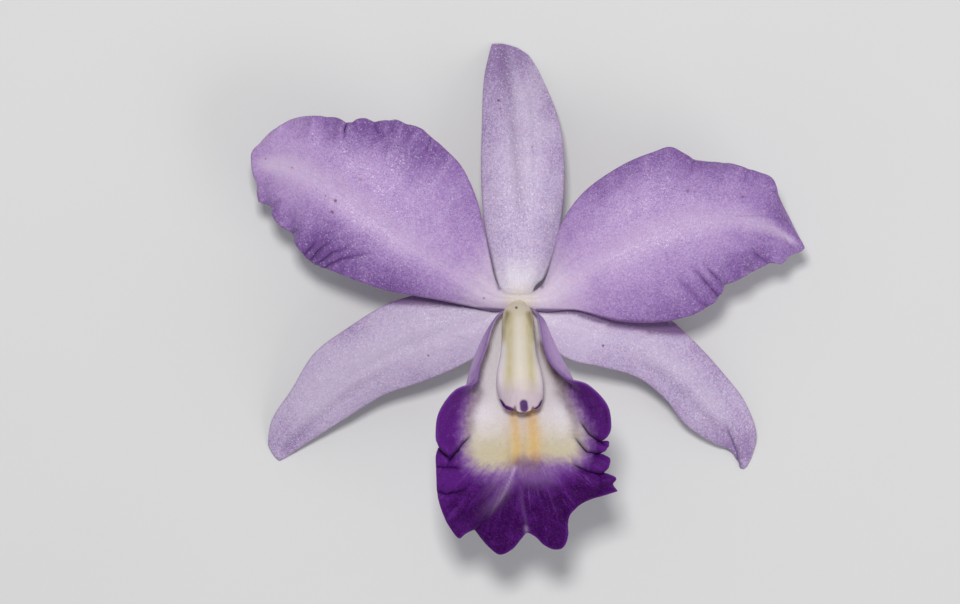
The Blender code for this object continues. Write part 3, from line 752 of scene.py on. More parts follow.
def lip_row(across, share):
    """One row of the lip, with its share of the lobed end and the ridges on its keel."""
    last = len(LIP) - 1
    station = share * last
    row = lip_section(across, station)
    end = along(LIP_END, (across + 1) / 2)
    part = max(station - END_STARTS, 0) / (last - END_STARTS)
    pull = part**2 * (end - lip_section(across, last)[:, :2])
    row[:, :2] += pull
    row[:, 2] += LIP_END_DROP * np.minimum(pull[:, 1], 0)
    ridge = np.exp(-(((np.abs(across) - RIDGE_PLACE) / RIDGE_WIDTH) ** 2))
    row[:, 2] += KEEL_RIDGE * ridge * ease(station, 2, 6) * (1 - ease(station, 12, 16))
    return row


lip, lip_points = new_sheet("lip_flesh", LIP_ROWS, LIP_COLUMNS, lip_row)
lip_rim = margin_distance(lip_points, LIP_ROWS, LIP_COLUMNS)
lip_points, lip_dark = fold(lip_points, LIP_FOLDS)
fan = ease(-lip_points[:, 1], FAN_STARTS, FAN_ENDS)
lip_points[:, 2] += fan * uneven(lip_points, LIP_BUMPS, 11)
lay(lip, lip_points)
thicken(lip, LIP_THICKNESS, lip_rim)

# %% [markdown]
# The colours of the lip lie in zones with living, ragged borders: a white throat, a yellow patch
# before it, and violet all round. The zones could be painted on a picture. Here the border of the
# pale zone is drawn once as a line, and each point of the lip knows how far inside it lies. The
# finish then adds its own raggedness to that distance, which stays sharp however near the camera
# comes.

# %% The pale zone of the lip
PALE_ZONE = [
    (-3.5, -0.5), (-8.4, -6), (-9.6, -11), (-9.2, -16.8), (-10, -20.4), (-11.2, -25),
    (-11.3, -28.6), (-11.4, -31), (-10.4, -33.5), (-8.3, -35.3), (-5, -35.4), (-2, -34.8),
    (0, -33.8), (2.4, -33.4), (6, -33.6), (10, -33.8), (12.2, -33), (13.3, -30.4), (13.7, -27.4),
    (12.1, -24.2), (10, -20.2), (8.9, -15.6), (8.6, -10.4), (7, -5.6), (3.2, -0.5),
]


def inside_distance(points, outline):
    """How far inside a closed outline each point lies, below 0 outside it."""
    closed = np.array([*outline, outline[0]], float)
    away, _ = near_line(points, closed)
    x, y = points[:, :1], points[:, 1:2]
    (ax, ay), (bx, by) = closed[:-1].T, closed[1:].T
    crosses = ((ay > y) != (by > y)) & (x < (bx - ax) * (y - ay) / (by - ay + 1e-12) + ax)
    return np.abs(away) * np.where(crosses.sum(axis=1) % 2 == 1, 1, -1)


YELLOW_STROKES = [
    Stroke([(-1.3, -23.4), (-1, -28), (-0.9, -33.4)], 1.2, 0.78),
    Stroke([(2.2, -23.4), (2.8, -28), (2.9, -33.2)], 1.6, 0.85),
    Stroke([(0.8, -27), (0.8, -31.6)], 4.2, 0.42),
]
# The first two strokes are the brown of the lip below the yellow; the others are painted shade on the
# inner walls under the rims and at the foot of the side lobes.
BROWN_AND_SHADE_STROKES = [
    Stroke([(-0.6, -34), (2.8, -34.4)], 1.7, 0.75),
    Stroke([(0.6, -35), (0.6, -38.5)], 1.5, 0.4, 0.9),
    Stroke([(5, -9.5), (6.8, -14), (9.2, -19)], 1.3, 1.0, 0.1),
    Stroke([(-7, -10), (-8, -14), (-8.8, -18)], 0.7, 0.5, 0.4),
    Stroke([(8.4, -19.4), (10.4, -22.4), (11.4, -25.5), (11.6, -28)], 1.3, 0.65),
    Stroke([(-8.8, -19.6), (-10.4, -22.6), (-10.6, -26.5)], 1.4, 0.7, 0.1),
]
# Pale lines on the middle lobe: partly its own paler colour, partly painted highlight along the crest
# of the left pleat and at the notch of its end.
PALE_LINES_AND_HIGHLIGHTS = [
    Stroke([(-1.2, -34.8), (-3.1, -39.4), (-6.6, -44.6)], 0.42, 0.8, 0.85),
    Stroke([(-2.1, -37.2), (-4.8, -41.4), (-8, -44.4)], 1.4, 0.34, 0.9),
    Stroke([(1, -36), (3, -36.6), (6, -36.2)], 2.0, 0.22),
    Stroke([(0, -38), (0.3, -42), (1.3, -47.4)], 0.3, 0.1),
    Stroke([(1.2, -47.2), (1.4, -48.8)], 0.5, 0.5),
    Stroke([(-3.8, -36.2), (-7.4, -40.4)], 1.2, 0.25, 0.8),
]
mark(
    lip,
    rim=lip_rim,
    crease=lip_dark,
    pale=inside_distance(lip_points[:, :2], PALE_ZONE),
    yellow=paint(lip_points, YELLOW_STROKES),
    # the brown of the lip, and painted shade on its inner walls
    brown=paint(lip_points, BROWN_AND_SHADE_STROKES),
    pale_and_highlight=paint(lip_points, PALE_LINES_AND_HIGHLIGHTS),
)
settle(lip, "lip")

# %% [markdown]
# The column and the stalk are solid bodies, not sheets. Such a body is lofted: a circle is added as a
# primitive, filled, and extruded ring by ring, and each ring is laid where a formula puts it. A
# Subdivision Surface modifier then rounds the whole. Metaballs would be quicker, but they keep no
# edge sharp.

# %% Rings extruded into a body
def turn_angles(count):
    """The angles of points that stand evenly round a circle."""
    return np.arange(count) * 2 * math.pi / count


def loft(name, rings, levels):
    """A body through rings of points in millimetres, closed at both ends and rounded."""
    bpy.ops.object.select_all(action="DESELECT")
    bpy.ops.mesh.primitive_circle_add(vertices=len(rings[0]), radius=MM, fill_type="NGON")
    body = bpy.context.object
    body.name = name
    body.data.name = name
    bpy.ops.object.mode_set(mode="EDIT")
    bpy.ops.mesh.select_all(action="SELECT")
    mesh = bmesh.from_edit_mesh(body.data)
    for number, ring in enumerate(rings):
        if number:
            bpy.ops.mesh.extrude_region_move()
            mesh = bmesh.from_edit_mesh(body.data)
        mesh.verts.ensure_lookup_table()
        chosen = [vert for vert in mesh.verts if vert.select]
        for vert, point in zip(chosen, (ring + HEART) * MM):
            vert.co = point
        bmesh.update_edit_mesh(body.data)
    bpy.ops.mesh.select_all(action="SELECT")
    bpy.ops.mesh.normals_make_consistent(inside=False)
    bpy.ops.object.mode_set(mode="OBJECT")
    modify(body, "SUBSURF", levels=levels, render_levels=levels)
    return body


print("a ring of four turns by", np.round(np.degrees(turn_angles(4))))

# %% [markdown]
# The column is round at the back and hollow at the front under its end, where the stigma is. Its back
# runs out into a hood over the anther, and two notches part the hood. Each ring lies square to the
# column's line, with a width, and a depth before and behind it. The last rings turn inward, as a
# recess for the cap.

# %% The column
COLUMN_LINE = [
    (-0.5, -1.7, 0.35), (-0.5, -2.3, 3), (-0.5, -4.6, 7), (-0.4, -8.8, 10.9),
    (-0.3, -13.4, 13.8), (-0.1, -18, 15.7), (0.2, -22.2, 16.7),
]
COLUMN_STATIONS = [
    (0.00, 1.9, 1.4, 1.2),
    (0.10, 2.8, 1.7, 1.5),
    (0.25, 3.3, 2.2, 2.0),
    (0.45, 3.5, 2.5, 2.2),
    (0.60, 3.9, 2.7, 2.3),
    (0.74, 4.7, 2.7, 2.4),
    (0.84, 4.9, 2.7, 2.4),
    (0.94, 4.6, 2.5, 2.3),
    (1.00, 4.1, 2.3, 2.1),
]
COLUMN_SIDES = 88
COLUMN_RINGS = 44
RINGS_CROWD = 1.25
HOOD_BEGINS = 0.86
HOOD_START = -0.9
HOOD_REACH = 2.5
HOOD_ROUND = 0.85
HOOD_BACKSET = 0.7
HOOD_NOTCHES = ((-1.4, 0.6), (2.4, 0.6))
NOTCH_WIDTH = 0.35
COLUMN_RIM = 0.2
COLUMN_RECESS = 1.3
STIGMA_DEPTH = 0.9
STIGMA_PLACE = 0.84
STIGMA_LENGTH = 0.07
FOOT_RADIUS = 1.2
FOOT_LEVELS = (-3.75, -2.6, -1.7)


def column_frame(share):
    """A point of the column's line, the way it runs there and the way its back faces."""
    centre = along(COLUMN_LINE, share)[0]
    ahead = along(COLUMN_LINE, [max(share - 0.02, 0), min(share + 0.02, 1)])
    way = (ahead[1] - ahead[0]) * (0, 1, 1)
    way /= np.linalg.norm(way)
    return centre, way, np.array([0, way[2], -way[1]])


def hood_reach(share, angle, width):
    """How far the points of a ring are drawn out along the column, into a hood with two notches."""
    back, front = np.clip(np.sin(angle), 0, 1), np.clip(-np.sin(angle), 0, 1)
    reach = HOOD_START + HOOD_REACH * back**HOOD_ROUND - HOOD_BACKSET * front
    for notch_x, notch_depth in HOOD_NOTCHES:
        beside = (width * np.cos(angle) - notch_x) / NOTCH_WIDTH
        reach -= notch_depth * np.exp(-(beside**2)) * (back > 0)
    return reach * ease(share, HOOD_BEGINS, 1) ** 2


def column_ring(share):
    """One ring: a rounded back, a front hollowed by the stigma, and the hood at the end."""
    angle = turn_angles(COLUMN_SIDES)
    table = np.array(COLUMN_STATIONS)
    width, front, behind = read_curve(table[:, 0], table[:, 1:], share)[0]
    centre, way, back = column_frame(share)
    depth = np.where(np.sin(angle) > 0, behind, front) * np.sin(angle)
    hollow = STIGMA_DEPTH * math.exp(-(((share - STIGMA_PLACE) / STIGMA_LENGTH) ** 2))
    depth += hollow * np.clip(-np.sin(angle), 0, 1) ** 4
    aside = np.outer(width * np.cos(angle), (1, 0, 0))
    return centre + aside + np.outer(depth, back) + np.outer(hood_reach(share, angle, width), way)


def column_rings():
    """All rings, from the foot to the floor of the recess in which the anther cap sits."""
    angle = turn_angles(COLUMN_SIDES)
    foot = FOOT_RADIUS * np.column_stack([np.cos(angle), np.sin(angle)])
    rings = [np.column_stack([foot, np.full(COLUMN_SIDES, z)]) for z in FOOT_LEVELS]
    shares = 1 - (1 - np.linspace(0, 1, COLUMN_RINGS)) ** RINGS_CROWD
    rings += [column_ring(share) for share in shares]
    centre, way, _ = column_frame(1)
    rings.append(centre + (rings[-1] - centre) * (1 - COLUMN_RIM))
    flat = rings[-1] - np.outer((rings[-1] - centre) @ way, way)
    rings.append(flat - 0.5 * COLUMN_RECESS * way)
    rings.append(flat - COLUMN_RECESS * way)
    return rings


column = loft("column_flesh", column_rings(), 1)
settle(column, "column")

# %% [markdown]
# Under the hood of the column sits the anther cap, a lid over the pollen. On the flower it is a piece
# of its own, which a bee knocks off. It is a sphere cut in half with bisect, given a wall with
# Solidify, and set on the end of the column.

# %% The anther cap
CAP_WIDTH = 4.2
CAP_HEIGHT = 2.9
CAP_DEPTH = 2.5
CAP_WALL = 0.6
CAP_GAP = 0.3


def set_on_column(piece, size, beyond):
    """Sets a small piece in the recess at the column's end, its own z along the column."""
    centre, way, back = column_frame(1)
    centre = centre + way * (beyond - COLUMN_RECESS) + HEART
    for vert in piece.data.vertices:
        x, y, z = vert.co
        place = centre + x * size[0] * np.array([1, 0, 0]) + y * size[1] * back + z * size[2] * way
        vert.co = place * MM


bpy.ops.object.select_all(action="DESELECT")
bpy.ops.mesh.primitive_uv_sphere_add(segments=48, ring_count=32, radius=1)
anther_cap = bpy.context.object
anther_cap.name = "anther_cap_shell"
bpy.ops.object.mode_set(mode="EDIT")
bpy.ops.mesh.select_all(action="SELECT")
bpy.ops.mesh.bisect(plane_co=(0, 0, 0), plane_no=(0, 0, 1), clear_inner=True)
bpy.ops.object.mode_set(mode="OBJECT")
modify(anther_cap, "SOLIDIFY", thickness=2 * CAP_WALL / CAP_WIDTH, offset=-1)
set_on_column(anther_cap, (CAP_WIDTH / 2, CAP_HEIGHT / 2, CAP_DEPTH), CAP_GAP)
settle(anther_cap, "anther_cap")

# %% [markdown]
# The pollen of an orchid isn't dust but a few waxy masses, the pollinia. Four small spheres are
# joined and remeshed, so that they grow into one body with soft grooves between them. Nobody sees it
# until the cap is lifted, but it is what the flower is for.

# %% The pollinia
POLLINIA_COUNT = 4
POLLINIA_WIDTH = 1.4
POLLINIA_RADIUS = 0.38
MASS_RADIUS = 1.25 / POLLINIA_COUNT
MASS_STRETCH = 3.2
REMESH_SIZE = 0.05
bpy.ops.object.select_all(action="DESELECT")
for number in range(POLLINIA_COUNT):
    centre = (2 * number + 1) / POLLINIA_COUNT - 1
    bpy.ops.mesh.primitive_uv_sphere_add(
        segments=24, ring_count=16, radius=MASS_RADIUS, location=(centre, 0, 0)
    )
    bpy.ops.transform.resize(value=(1, MASS_STRETCH, MASS_STRETCH))
masses = [thing for thing in bpy.data.objects if thing.name.startswith("Sphere")]
for thing in masses:
    thing.select_set(True)
bpy.context.view_layer.objects.active = masses[0]
bpy.ops.object.join()
bpy.ops.object.transform_apply(location=True, rotation=True, scale=True)
pollinia = bpy.context.object
pollinia.name = "pollinia_masses"
modify(pollinia, "REMESH", mode="VOXEL", voxel_size=REMESH_SIZE)
pollinia_size = (POLLINIA_WIDTH / 2, POLLINIA_RADIUS, POLLINIA_RADIUS)
set_on_column(pollinia, pollinia_size, CAP_GAP + POLLINIA_RADIUS)
settle(pollinia, "pollinia")

# %% [markdown]
# Behind the flower is the ovary, with six ribs, and it narrows into the stalk that was cut. Both are
# one lofted body. Its rings follow the stalk's line and turn with it, and the last one is the clean
# cut.

# %% The ovary and its stalk
PEDICEL_LINE = [
    (0, 0, -4.9), (0, -0.6, -7.8), (0.1, -4, -11.7), (0.3, -10, -13.9),
    (0.6, -22, -14.8), (1.2, -33, -15.4), (2, -43, -15.5),
]
PEDICEL_RADIUS = [
    (0, 2.6), (0.06, 1.9), (0.2, 2.1), (0.42, 2.2), (0.6, 1.75), (0.8, 1.5), (0.95, 1.55),
    (1, 1.75),
]
PEDICEL_ROWS = 60
PEDICEL_SIDES = 48
OVARY_RIBS = 6
RIB_HEIGHT = 0.16
FLANGE_RADIUS = 4.2
FLANGE_TOP = -4.05
FLANGE_RIM = 0.6
CUT_BEVEL = 0.85


def pedicel_rings():
    """The rings of the ovary, ribbed half way down, and of the stalk, from the flange to the cut."""
    angle = turn_angles(PEDICEL_SIDES)
    circle = np.column_stack([np.cos(angle), np.sin(angle)])
    flange = [
        (FLANGE_RADIUS - 2 * FLANGE_RIM, FLANGE_TOP), (FLANGE_RADIUS - FLANGE_RIM, FLANGE_TOP),
        (FLANGE_RADIUS, FLANGE_TOP - FLANGE_RIM / 2),
    ]
    rings = [np.column_stack([radius * circle, np.full(PEDICEL_SIDES, z)]) for radius, z in flange]
    share = np.linspace(0, 1, PEDICEL_ROWS)
    centres = along(PEDICEL_LINE, share)
    heading = np.gradient(centres, axis=0)
    heading /= np.linalg.norm(heading, axis=1)[:, None]
    radii = read_curve(*zip(*PEDICEL_RADIUS), share)[:, 0]
    side = np.array([1.0, 0, 0])
    for centre, way, radius, part in zip(centres, heading, radii, share):
        over = np.cross(side, way)
        over /= np.linalg.norm(over)
        ribbed = ease(part, 0.04, 0.15) * (1 - ease(part, 0.5, 0.75))
        size = (radius + RIB_HEIGHT * ribbed * np.cos(OVARY_RIBS * angle))[:, None]
        rings.append(centre + size * (circle[:, :1] * side + circle[:, 1:] * over))
    rings.append(centres[-1] + CUT_BEVEL * (rings[-1] - centres[-1]))
    return rings


pedicel = loft("ovary_and_stalk", pedicel_rings(), 1)
settle(pedicel, "pedicel")

# %% [markdown]
# Finishes come next. A finish is a graph of nodes, and most of it is plain sums, which are unreadable
# as wires. So one small class wraps what a node gives and overloads Python's own signs: a sum then
# reads as a sum, and each sign adds its Math node. One method makes every other node, from its type,
# its settings and what goes into it.

# %% Sums that make their own nodes
class Value:
    """What a node gives. Written sums of such values add Math nodes."""

    def __init__(self, finish, socket):
        self.finish = finish
        self.socket = socket

    def sum_of(self, operation, *parts):
        return self.finish.node("ShaderNodeMath", {"operation": operation}, dict(enumerate(parts)))

    def __add__(self, other):
        return self.sum_of("ADD", self, other)

    __radd__ = __add__

    def __sub__(self, other):
        return self.sum_of("SUBTRACT", self, other)

    def __rsub__(self, other):
        return self.sum_of("SUBTRACT", other, self)

    def __mul__(self, other):
        return self.sum_of("MULTIPLY", self, other)

    __rmul__ = __mul__

    def __abs__(self):
        return self.sum_of("ABSOLUTE", self)

    def sine(self):
        return self.sum_of("SINE", self)

    def at_least(self, other):
        return self.sum_of("MAXIMUM", self, other)

    def ease(self, start, end):
        """A smooth step from 0 at start to 1 at end, which may be the smaller one."""
        low, high = min(start, end), max(start, end)
        step = self.finish.node(
            "ShaderNodeMapRange",
            {"interpolation_type": "SMOOTHSTEP"},
            {"Value": self, "From Min": low, "From Max": high, "To Min": 0.0, "To Max": 1.0},
        )
        return step if start < end else 1 - step


def colour(red, green, blue):
    """A colour as the eye sees it, from 0 to 255, as the light that the shader needs."""
    seen = np.array([red, green, blue]) / 255
    light = np.where(seen <= 0.04045, seen / 12.92, ((seen + 0.055) / 1.055) ** 2.4)
    return (*light.tolist(), 1)


SPOT_CORE = 0.35


class Finish:
    """A material, and the nodes that are added to it."""

    def __init__(self, name, **fixed):
        self.material = bpy.data.materials.new(name)
        self.material.use_nodes = True
        self.tree = self.material.node_tree
        self.shader = self.tree.nodes["Principled BSDF"]
        for words, value in fixed.items():
            self.shader.inputs[words.replace("_", " ")].default_value = value

    def node(self, kind, settings=None, inputs=None, output=0):
        """Adds a node of this type: its settings first, then the values or links of its sockets."""
        made = self.tree.nodes.new(kind)
        for name, value in (settings or {}).items():
            setattr(made, name, value)
        for place, value in (inputs or {}).items():
            self.feed(made.inputs[place], value)
        return Value(self, made.outputs[output])

    def feed(self, socket, value):
        """Links a value to a socket, or sets the socket to a plain number or colour."""
        if isinstance(value, Value):
            self.tree.links.new(value.socket, socket)
        else:
            socket.default_value = value

    def mix(self, share, first, second):
        """A colour between two, by a share from 0 to 1."""
        return self.node("ShaderNodeMix", {"data_type": "RGBA"}, {0: share, 6: first, 7: second}, 2)

    def cover(self, base, *coats):
        """A colour under coats, each of them given as how much there is of it and its own colour."""
        for share, coat in coats:
            base = self.mix(share, base, coat)
        return base

    def mark(self, name):
        """A number that was written beside the points of the mesh."""
        return self.node("ShaderNodeAttribute", {"attribute_name": name}, output="Fac")

    def place(self):
        """Where a point is, in millimetres from the heart."""
        seen = self.node("ShaderNodeTexCoord", output="Object")
        return self.node(
            "ShaderNodeMapping",
            {"vector_type": "POINT"},
            {"Vector": seen, "Location": tuple(-HEART), "Scale": (1 / MM,) * 3},
        )

    def part(self, vector, axis):
        """One of the three numbers of a vector."""
        return self.node("ShaderNodeSeparateXYZ", inputs={0: vector}, output=axis)

    def noise(self, place, per_mm, detail=3.0, stretch=(1, 1, 1)):
        """Soft random spots from 0 to 1, with about per_mm of them a millimetre."""
        inputs = {"Vector": place, "Scale": stretch}
        shaped = self.node("ShaderNodeMapping", {"vector_type": "POINT"}, inputs)
        return self.node(
            "ShaderNodeTexNoise",
            {"noise_dimensions": "3D"},
            {"Vector": shaped, "Scale": per_mm, "Detail": detail, "Roughness": 0.55},
            "Fac",
        )

    def cells(self, place, per_mm, output="Distance"):
        """The cells of a surface, with about per_mm of them a millimetre."""
        inputs = {"Vector": place, "Scale": per_mm}
        return self.node("ShaderNodeTexVoronoi", {"voronoi_dimensions": "3D"}, inputs, output)

    def near(self, place, spot, radius):
        """1 near a spot that is given as x and y, falling to 0 at its radius."""
        flat = self.node("ShaderNodeVectorMath", {"operation": "MULTIPLY"}, {0: place, 1: (1, 1, 0)})
        ends = {0: flat, 1: (*spot, 0)}
        away = self.node("ShaderNodeVectorMath", {"operation": "DISTANCE"}, ends, "Value")
        return away.ease(radius, SPOT_CORE * radius)

    def wear(self, base, rough=None, height=None, depth=0.1):
        """Links what changes over the surface, with a height in shares of depth millimetres."""
        self.feed(self.shader.inputs["Base Color"], base)
        if rough is not None:
            self.feed(self.shader.inputs["Roughness"], rough)
        if height is not None:
            inputs = {"Strength": 1.0, "Distance": depth * MM, "Height": height}
            self.feed(self.shader.inputs["Normal"], self.node("ShaderNodeBump", inputs=inputs))

    def dress(self, *pieces):
        """Gives pieces this material and no other."""
        for piece in pieces:
            piece.data.materials.clear()
            piece.data.materials.append(self.material)
        print(self.material.name, "has", len(self.tree.nodes), "nodes")


# %% [markdown]
# The skin of a petal is a layer of tiny domed cells, and each of them throws back its own speck of
# light. Those specks are painted into the colour: cells of a quarter of a millimetre, each a little
# lighter or darker than the next, the brightest of them painted lighter still as painted highlights
# and made smoother, with a dome for each in the bump. Under them run veins that fan out from the
# claw, so they follow the blade's own map and not the space around it.

# %% The skin of sepals and petals
CELLS_PER_MM = 4.2
HEART_CREAM = colour(226, 214, 190)
FOLD_SHADE = colour(78, 38, 98)
# painted shade: the shadow that an organ above throws on a blade
EDGE_SHADE = colour(92, 48, 110)
SPECK_BROWN = colour(98, 58, 66)
# painted highlight: the light thrown back by the brightest cells
PAINTED_SPARKLE = colour(246, 236, 252)


@dataclass
class Skin:
    """The colours of a blade, from its pale middle to its deep margin, and what deepens them."""

    pale: tuple
    middle: tuple
    deep: tuple
    back: tuple
    vein: tuple
    claw: tuple
    claw_reach: float
    veins: int
    by_margin: float
    by_flush: float
    by_midrib: float
    by_spots: float
    by_cells: float
    painted_sparkle: float
    at_least: float
    specks: list


class BladeGround:
    """What the finish of a blade reads at each point: its place, noises, cells, midrib and veins."""

    def __init__(self, skin, look):
        self.place = skin.place()
        way = {0: self.place}
        self.away = skin.node("ShaderNodeVectorMath", {"operation": "LENGTH"}, way, "Value")
        blade_map = skin.node("ShaderNodeUVMap")
        u, v = skin.part(blade_map, "X"), skin.part(blade_map, "Y")
        self.mottle = skin.noise(self.place, 1.3, 3.0) - 0.5
        self.cell = skin.part(skin.cells(self.place, CELLS_PER_MM, "Color"), "X")
        streams = skin.node("ShaderNodeCombineXYZ", inputs={"X": u * 7, "Y": v * 2, "Z": 0.0})
        self.bands = skin.noise(streams, 1.0, 3.0) - 0.5
        ridge = abs(u * 2 - 1)
        self.midrib = ridge.ease(0.26, 0.0) * v.ease(1.0, 0.9) * look.by_midrib
        self.to_tip = v.ease(0.6, 0.95)
        self.line = ridge.ease(0.025, 0.0) * v.ease(0.3, 0.55) * v.ease(1.0, 0.9)
        fan = (u + skin.noise(self.place, 0.12, 2.0) * 0.05) * (look.veins * math.pi)
        self.veins = abs(fan.sine()).ease(0.3, 0.0) * v.ease(1.0, 0.7)


def blade_depth(skin, look, ground):
    """How deep the colour is: more at the margin and in the flushes, less along the midrib."""
    margin = skin.mark("rim").ease(9.0, 0.0) * ground.away.ease(10.0, 30.0)
    depth = margin * look.by_margin + skin.mark("flush") * look.by_flush
    depth = depth + (skin.noise(ground.place, 0.2, 4.0) - 0.5) * 0.6 + ground.bands * 0.35
    depth = depth + ground.mottle * look.by_spots + (ground.cell - 0.5) * look.by_cells
    return depth + look.at_least - ground.midrib


def blade_face(skin, look, ground):
    """The colour of the face, with faint veins and a line along the midrib."""
    depth = blade_depth(skin, look, ground)
    return skin.cover(
        look.pale,
        (depth.ease(-0.2, 0.6), look.middle),
        (depth.ease(0.3, 1.25), look.deep),
        (ground.midrib * (0.5 + ground.to_tip), look.claw),
        (ground.veins * 0.06, look.vein),
        (ground.line * 0.1, look.vein),
    )


def blade_finish(name, look):
    """A finish for blades, with a paler back, painted shadow and painted shade in the folds, specks
    and painted highlights.
    """
    skin = Finish(
        name, Roughness=0.42, Subsurface_Weight=0.1, Subsurface_Scale=0.001, Sheen_Weight=0.1
    )
    ground = BladeGround(skin, look)
    place, away, mottle, cell = ground.place, ground.away, ground.mottle, ground.cell
    rear = ground.veins * 0.5 + (cell - 0.5) * 0.3 + mottle * 0.5 + 0.1
    painted_shade = skin.mark("painted_shade")
    glint = cell.ease(0.88, 1.0)
    specks = [
        (skin.near(place, (x, y), radius) * amount, SPECK_BROWN)
        for x, y, radius, amount in look.specks
    ]
    base = skin.cover(
        skin.mix(rear, look.back, look.vein),
        (skin.mark("front"), blade_face(skin, look, ground)),
        (skin.mark("rim").ease(0.45, 0.05) * 0.35, look.deep),
        ((away + mottle * 3 + ground.bands * 8).ease(look.claw_reach, 3.0) * 0.8, look.claw),
        ((away + mottle * 2).ease(5.0, 1.5) * 0.6, HEART_CREAM),
        # painted shadow of the organs above, then painted shade in the folds
        (painted_shade.ease(0.1, 0.75) * 0.85, EDGE_SHADE),
        (skin.mark("crease") * 0.9, FOLD_SHADE),
        *specks,
        # painted highlights on the brightest cells, left out where painted shade lies
        (glint * (1 - painted_shade) * look.painted_sparkle, PAINTED_SPARKLE),
    )
    dome = skin.cells(place, CELLS_PER_MM).ease(0.5, 0.0)
    height = dome * 0.6 + mottle * 0.8 - ground.veins * 0.15
    skin.wear(base, 0.5 - glint * 0.12 - cell * 0.06, height, 0.08)
    return skin


petal_skin = blade_finish(
    "petal_skin",
    Skin(
        pale=colour(193, 162, 206),
        middle=colour(165, 129, 188),
        deep=colour(112, 68, 142),
        back=colour(190, 168, 206),
        vein=colour(140, 102, 172),
        claw=colour(226, 211, 224),
        claw_reach=17.0,
        veins=34,
        by_margin=0.34,
        by_flush=0.75,
        by_midrib=0.25,
        by_spots=0.3,
        by_cells=0.5,
        painted_sparkle=0.3,
        at_least=0.24,
        specks=[
            (-53.5, 29.7, 0.3, 0.5), (-47.9, 27.8, 0.3, 0.45), (-40.8, 21.8, 0.35, 0.55),
            (-38.7, 20.8, 0.5, 0.9), (-39.4, 18.4, 0.5, 0.85), (-33.5, 25.2, 0.6, 0.3),
            (-7.6, 0.4, 0.35, 0.55), (35.1, 22.9, 0.5, 0.6), (46.7, 21.6, 0.35, 0.7),
            (21.7, 5.2, 0.3, 0.4),
        ],
    ),
)
petal_skin.dress(*petals)
sepal_skin = blade_finish(
    "sepal_skin",
    Skin(
        pale=colour(208, 191, 216),
        middle=colour(192, 171, 205),
        deep=colour(148, 118, 168),
        back=colour(198, 184, 208),
        vein=colour(160, 134, 186),
        claw=colour(228, 222, 228),
        claw_reach=12.0,
        veins=22,
        by_margin=0.25,
        by_flush=0.8,
        by_midrib=0.06,
        by_spots=0.22,
        by_cells=0.75,
        painted_sparkle=0.55,
        at_least=0.2,
        specks=[
            (-4.5, 42.2, 0.45, 0.8), (-4.2, 40.6, 0.3, 0.5), (2.6, 32.2, 0.35, 0.4),
            (17.5, -9.6, 0.4, 0.8), (-19.3, -11.7, 0.35, 0.6),
        ],
    ),
)
sepal_skin.dress(*sepals)

# %% [markdown]
# The lip wears the strongest colours of the flower, to show the bee the way. White and cream lie
# inside a soft border, orange lines lead along the keel, and violet, veined from the throat outwards,
# covers the lobes. Outside, where the bee doesn't look, the tube is as pale as a sepal. Lines and
# patches that have a place of their own were painted on the points; the veins are noise that is
# stretched along each ray.

# %% The skin of the lip
WHITE = colour(234, 227, 230)
CREAM = colour(203, 193, 164)
ORANGE = colour(223, 180, 100)
MAUVE = colour(146, 106, 168)
VIOLET = colour(94, 30, 126)
DEEP_VIOLET = colour(56, 0, 76)
TUBE_LILAC = colour(196, 166, 210)
RIM_VIOLET = colour(104, 66, 138)
# painted shade in the folds of the lip
LIP_FOLD_SHADE = colour(26, 2, 36)
# pale lilac of the lines, also used for painted highlight
PALE_LILAC_AND_HIGHLIGHT = colour(196, 166, 206)
# brown of the lip, also used for painted shade
BROWN_AND_SHADE = colour(114, 86, 88)
RAY_HEART = (0.8, -26.0)

lip_skin = Finish(
    "lip_skin",
    Roughness=0.5,
    Specular_IOR_Level=0.06,
    Subsurface_Weight=0.25,
    Subsurface_Scale=0.0015,
    Subsurface_Radius=(1, 0.8, 1),
)
place = lip_skin.place()
x = lip_skin.part(place, "X")
down = -1 * lip_skin.part(place, "Y")
rim = lip_skin.mark("rim")
ragged = lip_skin.noise(place, 0.8, 5.0) - 0.5
grain = lip_skin.noise(place, 3.0, 2.0) - 0.5
blotch = lip_skin.noise(place, 0.35, 3.0) - 0.5
cell = lip_skin.part(lip_skin.cells(place, CELLS_PER_MM, "Color"), "X")
ray_x, ray_y = x - RAY_HEART[0], down + RAY_HEART[1]
turn = ray_x.sum_of("ARCTAN2", ray_x, ray_y.at_least(0.5))
spread = lip_skin.node("ShaderNodeCombineXYZ", inputs={"X": turn * 9, "Y": ray_y * 0.06, "Z": 0.0})
rays = lip_skin.noise(spread, 1.5, 4.0) - 0.5
fine_rays = lip_skin.noise(spread, 4.0, 3.0) - 0.5
mid_lobe = down.ease(31.0, 35.0)
inner = lip_skin.mark("pale") + ragged * 2.6 + grain * 0.7 + (rays * 1.8 + fine_rays * 1.6) * mid_lobe
deep = down.ease(34.0, 43.0) * 0.7 + (rays * 0.9 + fine_rays * 0.7) * mid_lobe
deep = deep + ragged * 0.9 + blotch * 1.3 + grain * 0.8 + (cell - 0.5) * 0.5
deep = deep - x.ease(-8.0, -16.0) * mid_lobe * 0.3 + x.ease(6.0, 14.0) * 0.3
light_rays = (fine_rays * -1 - rays * 0.8).ease(0.08, 0.3) * mid_lobe * down.ease(47.0, 37.0)
violet = lip_skin.cover(
    VIOLET,
    (deep.ease(-0.1, 0.9), DEEP_VIOLET),
    (inner.ease(-3.2, -0.2) * 0.75, MAUVE),
    ((grain + ragged).ease(0.0, 0.45) * (0.35 - 0.25 * mid_lobe), MAUVE),
    (light_rays * 0.32, MAUVE),
)
throat = lip_skin.cover(
    WHITE,
    ((down + ragged * 4).ease(23.0, 32.0), CREAM),
    (lip_skin.mark("yellow") * (0.9 + fine_rays * 0.8 + grain * 0.5 + ragged * 0.7), ORANGE),
)
